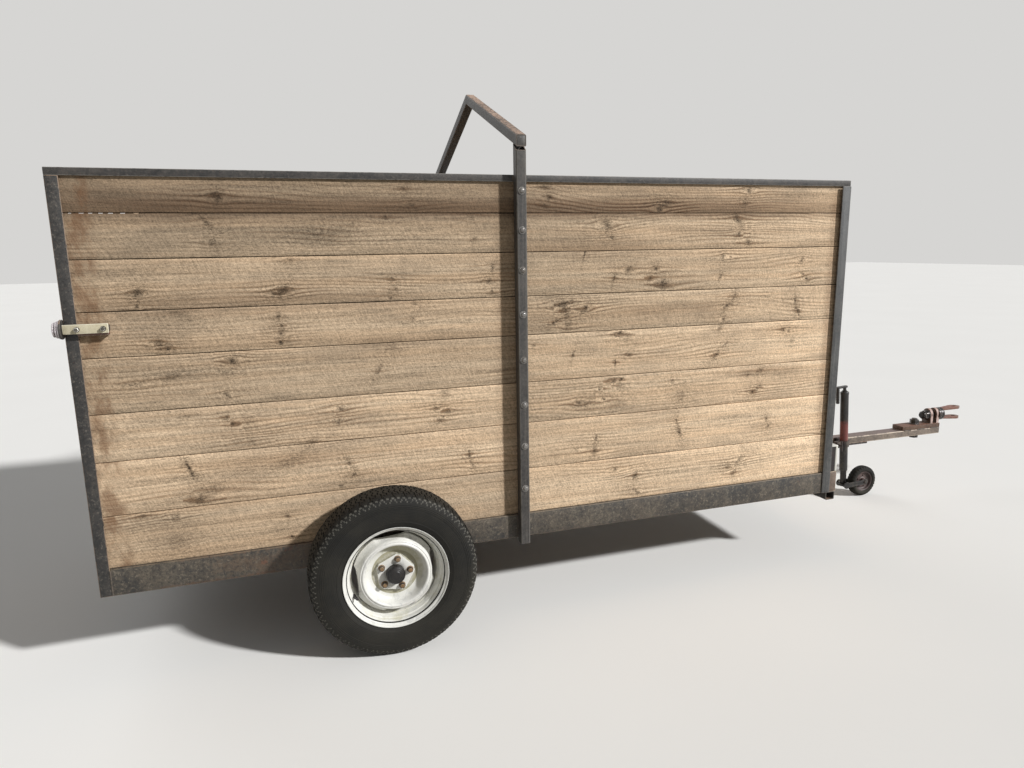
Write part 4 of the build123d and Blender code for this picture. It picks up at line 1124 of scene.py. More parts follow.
# Knots of the right-hand wall, in millimetres from the body's rear end and above the frame's
# underside: along, up, radius, and where they aren't a plain knot's stretch, tilt in degrees, darkness
WALL_KNOTS = (
    (500, 1358, 15, 1.3, 75, 0.7), (485, 1375, 10, 1.0, 0, 0.5), (1125, 1395, 9),
    (1150, 1340, 13, 1.6, 0, 0.5), (1670, 1405, 11), (1690, 1370, 9, 1.0, 0, 0.7),
    (1670, 1340, 12, 1.2, 0, 0.5), (2170, 1326, 14, 1.1, 70, 1.5), (2205, 1350, 14, 1.8, 0, 0.55),
    (2600, 1405, 14, 1.0, 0, 0.8), (2580, 1350, 12, 1.4, 60), (455, 1280, 9, 3.6, -45), (470, 1215, 12),
    (1055, 1295, 8, 1.0, 0, 0.5), (940, 1272, 7, 1.0, 0, 0.5), (830, 1230, 34, 3.0, 0, 0.25),
    (1380, 1290, 9), (1385, 1215, 9, 1.0, 0, 0.5), (1935, 1265, 20, 1.3, -30, 0.8),
    (1960, 1213, 8, 1.4, -60, 0.7), (2545, 1283, 14, 2.4, -42, 0.8), (2555, 1222, 12, 1.0, 0, 0.7),
    (2605, 1190, 9, 1.6, -70, 0.8), (225, 1050, 14, 1.5, 55, 0.75), (218, 1003, 7, 1.0, 0, 0.8),
    (685, 1045, 14, 1.6, 30, 0.8), (655, 1035, 8, 2.0, -10), (715, 1150, 12, 1.0, 70, 0.5),
    (1070, 1075, 8), (1080, 1040, 9), (1060, 1005, 8), (1455, 1110, 8, 2.6, 80),
    (1440, 1055, 12, 1.0, 0, 0.7), (1450, 1015, 9), (1838, 1152, 4, 4.0, 82, 0.95),
    (2035, 1085, 11, 1.8, 35, 0.8), (1970, 1052, 4, 3.6, 85, 1.0), (2160, 1085, 10, 1.0, 0, 0.8),
    (2135, 1048, 9, 1.0, 0, 0.7), (2200, 1022, 19, 1.2, 20, 0.75), (2480, 1130, 10, 1.8, 80),
    (2520, 1128, 8), (2470, 1045, 9, 2.0, 60, 0.7), (2890, 1108, 12, 1.2, 45, 0.8), (2900, 1046, 10),
    (2922, 1025, 11, 1.4, -40, 0.8), (345, 975, 24, 2.5, -20, 0.3), (270, 885, 12, 1.2, 30, 0.65),
    (298, 860, 9, 1.0, 0, 0.8), (662, 958, 10, 1.0, 0, 0.75), (670, 922, 9), (668, 893, 12, 1.2, 60, 0.7),
    (665, 862, 8, 1.0, 0, 0.75), (1150, 980, 10, 1.0, 0, 0.5), (1140, 922, 9, 1.5, 40),
    (1745, 950, 26, 1.2, -50, 0.75), (1760, 915, 18, 1.4, 40), (1845, 935, 16, 1.8, 35, 0.65),
    (1712, 886, 7, 3.6, 25, 0.8), (1770, 868, 16, 1.5, 50, 0.45), (2548, 962, 14, 2.0, 62),
    (2510, 918, 9, 2.6, 45, 0.75), (2497, 860, 9, 1.2, 80, 0.85), (2868, 925, 8, 3.4, -84, 0.7),
    (2885, 880, 9, 2.6, -65, 0.8), (500, 808, 13, 1.2, -20, 0.9), (1060, 820, 16, 1.8, 0, 0.35),
    (1005, 740, 9, 2.4, 60), (180, 745, 10, 3.0, 5, 0.5), (300, 760, 12, 3.5, 8, 0.4),
    (470, 768, 10, 2.6, -8, 0.45), (1998, 824, 9, 1.2, 70, 1.0), (2035, 805, 14, 1.2, 0, 0.4),
    (1620, 795, 7, 1.6, 0, 0.5), (1790, 747, 5, 3.2, 70, 0.8), (2042, 735, 8, 1.6, 20, 0.75),
    (1980, 705, 4, 3.4, 84, 0.9), (470, 687, 10, 1.4, -40, 0.75), (2480, 822, 13, 1.2, 70, 0.55),
    (2512, 752, 8, 2.2, 30), (2465, 705, 10, 2.4, 45, 0.75), (2812, 802, 8, 1.6, -30, 0.7),
    (2842, 795, 10, 1.2), (2862, 750, 8, 2.4, 0, 0.5), (462, 605, 9, 1.0, 0, 0.7), (480, 580, 9),
    (535, 580, 22, 1.0, 0, 0.35), (540, 505, 18, 1.0, 0, 0.3), (330, 620, 9, 3.6, 4, 0.4),
    (60, 590, 12, 2.2, 0, 0.4), (855, 603, 11, 1.0, 0, 0.75), (850, 560, 9, 1.2, 60),
    (1250, 635, 15, 1.5, -30, 0.45), (1215, 575, 11, 1.2, 30), (1262, 557, 12, 1.0, 0, 0.75),
    (1232, 525, 9, 1.6, 40), (1972, 627, 12, 1.1, 0, 0.75), (2008, 632, 6, 1.0, 0, 0.95),
    (2000, 605, 18, 1.4, -45, 0.35), (1912, 597, 8, 1.4, 0, 0.65), (1930, 552, 7, 1.1, 0, 0.85),
    (1815, 548, 9, 1.2, -20, 0.8), (1850, 538, 34, 1.6, 0, 0.32), (1990, 528, 28, 1.4, 0, 0.3),
    (2300, 535, 30, 1.2, 70, 0.35), (2252, 602, 9, 1.4, 60), (2700, 625, 12, 1.8, 30, 0.55),
    (2635, 606, 7, 1.2, 0, 0.5), (2665, 527, 9, 1.0, 0, 1.0), (2695, 545, 18, 1.6, 35, 0.4),
    (326, 428, 8, 5.6, -70, 0.95), (350, 315, 15, 1.2, 60, 0.75), (393, 340, 26, 2.0, 35, 0.35),
    (660, 420, 22, 2.8, 18, 0.35), (745, 485, 16, 2.2, 40, 0.35), (876, 393, 7, 3.0, -68, 0.75),
    (890, 345, 9, 1.0, 0, 0.75), (840, 305, 9), (1344, 375, 7, 2.6, -80, 0.7), (1356, 330, 8, 2.2, -60),
    (1895, 385, 6, 2.4, 70, 0.7), (1888, 330, 9, 2.8, 78, 0.75), (1805, 345, 9),
    (2278, 425, 6, 2.6, -80, 0.7), (2293, 378, 9, 3.4, -72, 0.85), (2746, 392, 7, 2.6, -80, 0.75),
    (2758, 358, 8, 1.4, 30, 0.7), (3060, 305, 9, 1.0, 0, 0.7), (160, 275, 10),
    (265, 260, 11, 1.2, 0, 0.65), (265, 165, 32, 1.2, 0, 0.28), (640, 210, 9),
    (650, 130, 6, 1.0, 0, 0.95), (1985, 240, 11, 1.2, 50, 0.7), (2082, 200, 10, 1.6, 60, 0.7),
    (2092, 125, 8, 3.0, -36, 0.75), (2612, 215, 12, 2.2, 40, 0.75), (2550, 180, 9, 1.4, 50, 0.65),
    (2582, 155, 10, 1.6, 70, 0.7),
)

# Brightness of the right-hand wall's boards from the bottom up: the rear set, the front set at the hoop
WALL_TONES = (
    (0.70, 0.87), (0.83, 0.80), (0.81, 0.71), (0.62, 0.74), (0.67, 0.62), (0.655, 0.60), (0.555, 0.61),
    (0.50, 0.62),
)
# How much brighter a board's front end is than its rear end, in the rear set and in the front set
REAR_LIFT, FRONT_LIFT = 0.12, 0.34

# Stains on the right-hand wall, and the painted shadows that the hoop post and the front post cast on its
# boards, in millimetres like the knots: along, up, half length, half height, depth
WALL_STAINS_AND_SHADOWS = (
    # (1510, 790, 45, 760) is painted shadow: the dark band that the hoop post casts on the boards behind it
    (1560, 1326, 1700, 36, 0.92), (60, 1345, 500, 60, 0.3), (1510, 790, 45, 760, 0.35),
    (1560, 1392, 1700, 34, 0.3), (640, 1010, 560, 24, 0.5), (2250, 905, 260, 30, 0.4),
    (620, 430, 220, 48, 0.34), (420, 330, 110, 45, 0.3), (250, 170, 90, 50, 0.2), (700, 560, 260, 60, 0.16),
    (1180, 840, 300, 26, 0.35), (2700, 620, 240, 26, 0.34), (1900, 1180, 330, 24, 0.42),
    # Painted shadow of the front post on the boards' front ends
    (3060, 700, 26, 760, 0.55),
)


@dataclass(frozen=True)
class Board:
    """One board, rebuilt with weathered faces, edges and figure.

    Its tone is the brightness at a place along it, its stain and painted shadow the depth of both at a place
    along and across.
    """

    run: Run
    low: Vector
    high: Vector
    knots: Sequence[Knot]
    tone: Callable[[float], float]
    stain_and_shadow: Callable[[float, float], float]
    seed: int
    cell: float = 0.036

    def place(self) -> Matrix:
        """Place the unit board, which runs along X and has its width in Y.

        Returns:
            Its matrix.
        """
        matrix = Matrix.Diagonal((0.0, 0.0, 0.0, 1.0))
        for column, axis in enumerate(self.run.value):
            matrix[axis][column] = self.high[axis] - self.low[axis]
        matrix.translation = (self.low + self.high) / 2
        return matrix

    def mesh(self) -> BMesh:
        """Build the board in its place.

        Returns:
            Its mesh.
        """
        low, high = self.low, self.high
        along, across, through = self.run.value
        length, width = high[along] - low[along], high[across] - low[across]
        columns = max(2, round(length / self.cell))
        rows = max(3, round(width / self.cell))
        bm = bmesh.new()
        foot = Matrix.Translation((0, 0, -0.5))
        bmesh.ops.create_grid(bm, x_segments=columns, y_segments=rows, size=0.5, matrix=foot)
        raised = bmesh.ops.extrude_face_region(bm, geom=bm.faces[:])
        verts = [item for item in raised["geom"] if isinstance(item, BMVert)]
        bmesh.ops.translate(bm, vec=(0, 0, 1), verts=verts)
        bmesh.ops.create_grid(bm, x_segments=columns, y_segments=rows, size=0.5, matrix=foot)
        bmesh.ops.remove_doubles(bm, verts=bm.verts, dist=1e-5)
        bm.transform(self.place())
        bmesh.ops.recalc_face_normals(bm, faces=bm.faces)
        bevel_sharp(bm, 0.0011, angle=50.0)
        lift = random.Random(self.seed).uniform(-0.0014, 0.0006)
        offset = Vector((self.seed * 3.1, self.seed * 1.7, 0.0))
        middle = (low + high) / 2
        for vert in bm.verts:
            s, t = vert.co[along], vert.co[across]
            side = 1.0 if vert.co[through] > middle[through] else -1.0
            wave = noise.noise(Vector((s * 2.3, t * 5.0, 0.0)) + offset)
            vert.co[through] -= side * (0.0009 * abs(wave) - lift * 0.5)
            if abs(t - middle[across]) > width * 0.45:
                bite = abs(noise.noise(Vector((s * 3.7, side * 2.0 + t * 9.0, 4.0)) + offset))
                vert.co[across] -= math.copysign(0.0013 * bite, t - middle[across])
        self.mark(bm)
        return bm

    def mark(self, bm: BMesh) -> None:
        """Write the attributes that the timber's material reads.

        Args:
            bm: the board's mesh.
        """
        along, across, _ = self.run.value
        foot, width = self.low[across], self.high[across] - self.low[across]
        layers = bm.loops.layers
        board = layers.float_vector.new("board")
        stain_and_shadow_layer = layers.float.new("stain_and_shadow")
        pairs = [
            (layers.float_vector.new(name), layers.float_vector.new(f"{name}_set"))
            for name in ("knot_a", "knot_b")
        ]
        nowhere = Knot(self.low[along] - 9.0, foot, 0.01, dark=0.0)
        number = (self.seed * 0.6180339) % 1.0
        for face in bm.faces:
            centre = face.calc_center_median()
            s, t = centre[along], centre[across]
            by_distance = sorted(
                self.knots,
                key=lambda k: math.hypot(k.along - s, k.across - t) / (k.radius * k.stretch + 0.012),
            )
            chosen = (by_distance + [nowhere, nowhere])[:2]
            for loop in face.loops:
                co = loop.vert.co
                loop[board] = (number, self.tone(co[along]), (co[across] - foot) / width)
                loop[stain_and_shadow_layer] = self.stain_and_shadow(co[along], co[across])
                for (spot, look), knot in zip(pairs, chosen):
                    loop[spot] = (knot.along, knot.across, knot.radius)
                    loop[look] = (math.radians(knot.tilt), knot.stretch, knot.dark)


@dataclass
class Planking(SubAssembly):
    """All walls, the floor and the gate's boards."""

    rear_x: float = BODY_REAR
    length: float = 3.12
    frame_z: float = FRAME_FOOT
    floor_z: float = 0.41
    open_seam_z: float = 1.621
    open_seam_x: float = -2.09
    seam_crumbs: tuple[float, ...] = (0.0, 0.13, 0.22, 0.36, 0.46, 0.58, 0.70, 0.84)
    crumb_lengths: tuple[float, ...] = (0.020, 0.012, 0.020, 0.012, 0.016, 0.014, 0.020, 0.024)
    seed: int = 40

    def wall_knots(self) -> list[Knot]:
        """Knots of the right-hand wall in metres."""
        return [
            Knot(self.rear_x + x * MM, self.frame_z + z * MM, radius * MM, *look)
            for x, z, radius, *look in WALL_KNOTS
        ]

    def wall_stain_and_shadow(self, along: float, across: float) -> float:
        """Add up the right-hand wall's stains and painted post shadows at a place.

        Args:
            along: the place along the grain.
            across: the place across it.
        Returns:
            Depth of the stain and painted shadow.
        """
        total = 0.0
        for x, z, half_x, half_z, depth in WALL_STAINS_AND_SHADOWS:
            u = (along - self.rear_x - x * MM) / (half_x * MM)
            v = (across - self.frame_z - z * MM) / (half_z * MM)
            spread = u ** 4 + v ** 4
            total += depth * math.exp(-spread)
        return min(total, 0.9)

    def scattered(self, low: Vector, high: Vector, run: Run, rng: random.Random) -> list[Knot]:
        """Knots for a board that the photograph doesn't show.

        Args:
            low: the board's lowest corner.
            high: its highest corner.
            run: how it lies.
            rng: source of the places.
        Returns:
            The knots.
        """
        along, across, _ = run.value
        knots = []
        s = low[along] + rng.uniform(0.1, 0.4)
        while s < high[along] - 0.08:
            for _ in range(rng.choice((1, 1, 1, 2))):
                t = rng.uniform(low[across] + 0.02, high[across] - 0.02)
                place = s + rng.uniform(-0.03, 0.03), t
                size = rng.uniform(0.007, 0.015), rng.choice((1.0, 1.2, 1.6, 2.6))
                knots.append(Knot(*place, *size, rng.uniform(-80, 80), rng.uniform(0.35, 0.75)))
            s += rng.uniform(0.34, 0.78)
        return knots

    def fade(self, rear: float, front: float) -> Callable[[float], float]:
        """Brightness that changes evenly from the body's rear end to its front."""
        return lambda along: rear + (front - rear) * (along - self.rear_x) / self.length

    def tongue(self, whole: BMesh, run: Run, low: Vector, high: Vector) -> None:
        """Close the seam under a board with a narrow tongue, as the boards' joint does.

        Args:
            whole: the mesh that it joins.
            run: how the board lies.
            low: the board's lowest corner.
            high: its highest corner.
        """
        along, across, through = run.value
        foot, head = low.copy(), high.copy()
        foot[across] = low[across] - 0.006
        head[across] = low[across] + 0.006
        middle = (low[through] + high[through]) / 2
        foot[through], head[through] = middle - 0.003, middle + 0.003
        if run is Run.FORWARD_UPRIGHT and abs(low.z - self.open_seam_z) < 0.01:
            start = foot[along]
            for share, length in zip(self.seam_crumbs, self.crumb_lengths):
                foot[along] = start + share * (self.open_seam_x - start)
                ends = head.copy()
                ends[along] = foot[along] + length
                join_into(whole, bar(foot, ends))
            foot[along] = max(start, self.open_seam_x)
        join_into(whole, bar(foot, head))

    def build(self) -> None:
        """Build every set of boards."""
        sets = (
            # node, run of the grain, brightness, piece's name
            ("right_boards_rear", Run.FORWARD_UPRIGHT, 0.8, "right_wall_rear_planks"),
            ("right_boards_front", Run.FORWARD_UPRIGHT, 0.9, "right_wall_front_planks"),
            ("left_boards_rear", Run.FORWARD_UPRIGHT, 0.84, "left_wall_rear_planks"),
            ("left_boards_front", Run.FORWARD_UPRIGHT, 0.9, "left_wall_front_planks"),
            ("front_boards", Run.ACROSS_UPRIGHT, 0.9, "front_wall_planks"),
            ("gate_boards", Run.ACROSS_UPRIGHT, 0.84, "gate_planks"),
            ("gate_cleats", Run.ACROSS_UPRIGHT, 0.8, "gate_foot_cleats"),
            ("floor_planks", Run.FORWARD_FLAT, 0.8, "floor_decking"),
        )
        for index, (node, run, tone, name) in enumerate(sets):
            whole = bmesh.new()
            for i, (low, high) in enumerate(loose_boxes(node)):
                seed = self.seed + 20 * index + i
                rng = random.Random(seed)
                if node.startswith("right"):
                    rear, front = WALL_TONES[min(i, len(WALL_TONES) - 1)]
                    knots = [k for k in self.wall_knots() if low.z - 0.004 < k.across < high.z + 0.004]
                    tones = self.fade(rear - 0.03, rear - 0.03 + 2.0 * REAR_LIFT)
                    if "front" in node:
                        tones = self.fade(front - FRONT_LIFT, front + FRONT_LIFT)
                    # Stains and painted post shadows of the right-hand wall
                    stain_and_shadow = self.wall_stain_and_shadow
                else:
                    level = tone * rng.uniform(0.93, 1.05)
                    knots = self.scattered(low, high, run, rng)
                    tones, stain_and_shadow = self.fade(level, level), lambda along, across: 0.0
                join_into(whole, Board(run, low, high, knots, tones, stain_and_shadow, seed).mesh())
                if low.z > self.floor_z + 0.02 and run is not Run.FORWARD_FLAT:
                    self.tongue(whole, run, low, high)
            self.stand_in(name, whole, node, 60.0)


# Steel frame


@dataclass
class SteelFrame(SubAssembly):
    """Rails, posts, hoop and running gear with their edges rounded, bolts and weld beads."""

    hoop_x: float = -0.78325
    hoop_face: float = 0.71
    bolt_levels: tuple[int, ...] = (1389, 1245, 1095, 926, 748, 569, 400, 223)
    frame_z: float = FRAME_FOOT
    middle_x: float = -0.78
    rear_face: float = BODY_REAR
    tube_half: float = 0.020
    wall_y: float = 0.670
    bar_welds: tuple[float, ...] = (1.905, 2.010, 2.115)
    lug_welds: tuple[float, ...] = (2.12075, 2.13875, 2.16875)
    softened: tuple[tuple[str, float], ...] = (
        # CAD node, width of its rounded edges
        ("side_rails", 0.003), ("front_cross_rail", 0.003), ("top_rails", 0.0022),
        ("inner_wall_bars", 0.0012), ("axle_brackets", 0.0015), ("latch_straps", 0.0016),
        ("latch_bars", 0.0012), ("gate_frame", 0.0012), ("sill_hinges", 0.0010), ("jockey_fork", 0.0010),
        ("spindles", 0.0012),
    )
    tubes: tuple[str, ...] = (
        "hoop_posts", "hoop_rafters", "rear_sill", "cross_members", "front_under_tube", "axle_beam",
        "drawbar",
    )

    def posts(self) -> None:
        """Corner posts, the rear pair darker than the front pair."""
        for name, keep_rear, finish in (
            ("rear_posts", True, REAR_POST_PAINT),
            ("front_posts", False, POST_PAINT_AND_SHADE),
        ):
            bm = copy_of("corner_posts")
            away = [v for v in bm.verts if (v.co.x < self.middle_x) is not keep_rear]
            bmesh.ops.delete(bm, geom=away, context="VERTS")
            bevel_sharp(bm, 0.0022, angle=50.0)
            self.add(name, bm, finish, "corner_posts", True)

    def rafter_ends(self) -> None:
        """Plates that close the rafters' ends at the eaves."""
        plates = mirrored(
            lambda: bar(
                (self.hoop_x - 0.0165, -0.7095, 1.8605), (self.hoop_x + 0.0165, -0.7060, 1.8960), 0.0008
            )
        )
        self.add("rafter_end_plates", plates, FRAME_PAINT, "hoop_rafters")

    def welds(self) -> None:
        """Weld beads where the hoop posts, corner posts, hitch bar and drawbar are joined."""
        edge = self.tube_half
        runs = []
        for side in (-1, 1):
            wall, bar_side = side * self.wall_y, side * 0.0400
            for x in (self.hoop_x - edge, self.hoop_x + edge):
                runs.append(((x, wall, 1.738), (x, wall, 1.758), 0.003))
                runs.append(((x, wall, 0.318), (x, wall, 0.402), 0.003))
            inner = self.rear_face + 0.0405
            runs.append(((inner, wall, 0.313), (inner, wall, 0.404), 0.0032))
            for x in self.bar_welds:
                runs.append(((x, bar_side, 0.350), (x + 0.055, bar_side, 0.350), 0.0035))
            runs.append(((0.817, side * 0.0402, 0.312), (0.817, side * 0.0402, 0.348), 0.004))
        for x in self.lug_welds:
            runs.append(((x, -0.028, 0.375), (x, 0.028, 0.375), 0.0028))
        whole = bmesh.new()
        for i, (start, end, radius) in enumerate(runs):
            join_into(whole, weld_bead(Vector(start), Vector(end), radius, 300 + i))
        self.add("weld_beads", whole, WELD_METAL, "side_rails")

    def build(self) -> None:
        """Build the frame's pieces."""
        self.posts()
        for node, width in self.softened:
            bm = copy_of(node)
            bevel_sharp(bm, width, angle=50.0)
            self.stand_in(f"{node}_rounded", bm, node)
        for node in self.tubes:
            self.stand_in(f"{node}_worn", worn_tube(node), node, 25.0)
        self.rafter_ends()
        self.welds()
        for side, label in ((-1, "right"), (1, "left")):
            bolts = bmesh.new()
            for level in self.bolt_levels:
                at = (self.hoop_x, side * self.hoop_face, self.frame_z + level * MM)
                join_into(bolts, round_head(9.5, 9.5), facing((0, side, 0), at))
            self.add(f"hoop_bolts_{label}", bolts, BOLT_STEEL, "hitch_bolt")


@dataclass
class FrontMarkers(SubAssembly):
    """White reflector housings that wrap over the front markers' bases."""

    base_front: float = 0.8048
    base_top: float = 0.532
    base_foot: float = 0.410
    overhang: float = 0.002

    def build(self) -> None:
        """Build both housings."""
        whole = bmesh.new()
        for low, high in loose_boxes("front_marker_lenses"):
            right, left = low.y - self.overhang, high.y + self.overhang
            face = bar(
                (self.base_front, right, self.base_foot), (high.x, left, self.base_top + 0.007), 0.0035, 3
            )
            lip = bar(
                (self.base_front - 0.025, right, self.base_top + 0.0003),
                (self.base_front + 0.004, left, self.base_top + 0.007), 0.0022,
            )
            join_into(whole, face)
            join_into(whole, lip)
        self.stand_in("front_reflector_housings", whole, "front_marker_lenses")


# Latch and gate


@dataclass
class Latch(SubAssembly):
    """Strap bolts, packing plates and the gate's stacked hand nuts."""

    strap_face: float = 0.696
    level: float = 1.253
    bolt_x: tuple[float, float] = (-2.30025, -2.22425)
    screw_y: float = 0.680
    nut_x: float = -2.34975
    packing_low: Point = (-2.3020, -0.6885, 1.2305)
    packing_high: Point = (-2.2125, -0.6604, 1.2428)
    gate_face: float = -2.34375
    gate_bolt_y: float = 0.609
    gate_bolt_z: float = 0.492
    gate_bolt_step: float = 0.1472
    gate_bolt_rows: int = 6
    scallop_start: float = 0.0190

    def strap_bolts(self) -> BMesh:
        """Hexagon heads on washers, two on each strap.

        Returns:
            Its mesh.
        """
        whole = bmesh.new()
        for side in (-1, 1):
            for turn, x in zip((0.35, 1.2), self.bolt_x):
                at = facing((0, side, 0), (x, side * self.strap_face, self.level - 0.001))
                join_into(whole, rod(8.8, 0.0, 1.4, 28), at)
                lifted = Matrix.Translation((0, 0, 0.0012)) @ Matrix.Rotation(turn, 4, "Z")
                join_into(whole, hex_head(0.0142, 0.0105, 0.0012), at @ lifted)
        return whole

    def packing(self) -> BMesh:
        """Packing strips under the straps' bars, between the straps and the boards."""
        return mirrored(lambda: bar(self.packing_low, self.packing_high, 0.0012))

    def hand_nut(self) -> BMesh:
        """A screw with a flange, two scalloped discs and a necked end, on Z.

        Returns:
            Its mesh.
        """
        profile = (
            # radius, height
            (0, -20), (5.2, -20), (5.8, -19), (5.8, 0), (30, 0), (30.4, 1), (30.4, 3), (29.6, 3.8),
            (22.5, 4), (22.5, 5.2), (27, 5.4), (27.8, 6.4), (27.8, 10.4), (27, 11.4), (19.5, 11.8),
            (19.5, 14.2), (23.5, 14.4), (24.3, 15.4), (24.3, 19), (23.5, 20), (13, 20.4), (13, 22.2),
            (7, 22.6), (6.6, 23.6), (0, 23.8),
        )
        steps = 60
        bm = lathe(profile, steps)
        rims = set()
        for vert in bm.verts:
            radius, turn = polar(vert.co)
            if radius <= self.scallop_start:
                continue
            rims.add(vert)
            if vert.co.z > 0.0045 and round(turn * steps) % 4 == 0:
                draw_in(vert, 1.0 - 0.0013 / radius)
        mark_edge_faces(bm, lambda face: all(v in rims for v in face.verts) and abs(face.normal.z) < 0.9)
        return bm

    def gate_bolts(self) -> BMesh:
        """Domed heads that hold the gate's boards to its frame.

        Returns:
            Its mesh.
        """
        whole = bmesh.new()
        for row in range(self.gate_bolt_rows):
            z = self.gate_bolt_z + row * self.gate_bolt_step
            for y in (-self.gate_bolt_y, self.gate_bolt_y):
                at = facing((-1, 0, 0), (self.gate_face, y, z))
                join_into(whole, round_head(6.5, 5.5), at)
        return whole

    def build(self) -> None:
        """Build the latch and the gate's fastenings."""
        self.add("latch_strap_bolts", self.strap_bolts(), STRAP_BOLT, "latch_straps")
        self.add("latch_packing_strips", self.packing(), PACKING_RUST, "latch_bars")
        nuts = bmesh.new()
        for side in (-1, 1):
            at = facing((-1, 0, 0), (self.nut_x, side * self.screw_y, self.level))
            join_into(nuts, self.hand_nut(), at)
        self.stand_in("gate_hand_nuts", nuts, "gate_screws", 28.0)
        self.add("gate_board_bolts", self.gate_bolts(), BOLT_STEEL, "gate_frame")


# Hitch


@dataclass
class Hitch(SubAssembly):
    """Hitch bar with its two lugs, the swivelling clevis and its castle nut."""

    swivel_z: float = 0.425
    tail_x: float = 2.07245
    nut_front_x: float = 2.11445
    lug_foot: float = 0.378
    lug_shift: float = 0.016
    lug_narrow: float = 0.78
    fork_narrow: float = 0.72
    fork_low: float = 0.80
    plate_front: float = 2.2268
    boss_radius: float = 0.0385

    def place(self, x: float, direction: float = 1.0) -> Matrix:
        """Matrix from an axis along Z to the swivel's axis at a station, looking forward or back."""
        return facing((direction, 0, 0), (x, 0.0, self.swivel_z))

    def castle(self) -> BMesh:
        """Crown of a castle nut on Z, six teeth.

        Returns:
            Its mesh.
        """
        low, high, tooth = 23.6, 25.0, 8.5
        section = ((18.6, low), (22.8, low), (22.8, high), (18.6, high), (18.6, low))
        steps = 36
        bm = lathe(section, steps)
        bm.normal_update()
        teeth = []
        for face in bm.faces:
            centre = face.calc_center_median()
            column = int(polar(centre)[1] % 1.0 * steps)
            if centre.z > high * MM - 1e-5 and column % 6 < 4:
                teeth.append(face)
        push(bm, teeth, lambda place: Vector((0, 0, tooth * MM)))
        bevel_sharp(bm, 0.0007, 1)
        return bm

    def shaft(self) -> BMesh:
        """Swivel shaft with its thread, nut, washer, spacers and split pin.

        Returns:
            Its mesh.
        """
        whole = bmesh.new()
        profile = [(0, 0), (14, 0), (16.2, 2.2)]
        for turn in range(5):
            profile += [(18.2, 3.4 + turn * 2.2), (16.4, 4.5 + turn * 2.2)]
        profile += [(18.1, 16), (18.1, 154), (0, 154)]
        join_into(whole, lathe(profile, 48), self.place(self.tail_x))
        join_into(whole, hex_head(0.0520, 0.0240, 0.0022), self.place(self.nut_front_x, -1.0))
        join_into(whole, self.castle(), self.place(self.nut_front_x, -1.0))
        for start, end, radius in (
            # distance of its back from the tail, of its front, radius
            (42.0, 47.8, 30.0), (115.0, 129.2, 38.5),
        ):
            ring = rod(radius, start, end, 48)
            bevel_sharp(ring, 0.0010, angle=50.0)
            join_into(whole, ring, self.place(self.tail_x))
        pin = rod(2.4, -27.0, 27.0, 12)
        join_into(whole, pin, Matrix.Translation((self.nut_front_x - 0.0292, 0.0, self.swivel_z)))
        return whole

    def hitch_bar(self) -> BMesh:
        """Hitch bar whose lugs are worn bright round their rims.

        Returns:
            Its mesh.
        """
        bm = copy_of("hitch_bar")
        for level in (self.lug_foot - 0.0028, self.lug_foot - 0.0024):
            geom = bm.verts[:] + bm.edges[:] + bm.faces[:]
            bmesh.ops.bisect_plane(bm, geom=geom, dist=1e-6, plane_co=(0, 0, level), plane_no=(0, 0, 1))
        for vert in bm.verts:
            if vert.co.z > self.lug_foot - 0.0026:
                vert.co.x += self.lug_shift
                vert.co.y *= self.lug_narrow
        bevel_sharp(bm, 0.0026, 3, 50.0)
        mark_edge_faces(bm, lambda f: f.calc_center_median().z > self.lug_foot and abs(f.normal.x) < 0.8, 0.9)
        return bm

    def clevis(self) -> BMesh:
        """Fork of the clevis with its edges knocked round.

        Returns:
            Its mesh.
        """
        bm = copy_of("clevis")
        for vert in bm.verts:
            slim = 0.76 if vert.co.x < self.plate_front - 0.01 else 1.0
            vert.co.y *= self.fork_narrow * slim
            vert.co.z = self.swivel_z + (vert.co.z - self.swivel_z) * self.fork_low * slim
        bevel_sharp(bm, 0.0032, 3, 50.0)
        return bm

    def boss(self) -> BMesh:
        """Round back plate of the clevis.

        Returns:
            Its mesh.
        """
        back = self.plate_front - 0.0248
        radius = self.boss_radius / MM
        profile = ((0, 0), (radius, 0), (radius, 24.4), (radius - 4, 26.2), (0, 26.2))
        bm = lathe(profile, 56)
        bevel_sharp(bm, 0.0014, angle=30.0)
        bm.transform(self.place(back))
        return bm

    def build(self) -> None:
        """Build the hitch's pieces."""
        self.stand_in("hitch_bar_worn", self.hitch_bar(), "hitch_bar")
        self.stand_in("clevis_fork", self.clevis(), "clevis")
        self.add("clevis_boss", self.boss(), GREASY_STEEL, "clevis")
        self.stand_in("swivel_nut_and_shaft", self.shaft(), "swivel_shaft")
        bolt = copy_of("hitch_bolt")
        bevel_sharp(bolt, 0.0020)
        self.stand_in("hitch_bolt_rounded", bolt, "hitch_bolt")


# Jockey stand


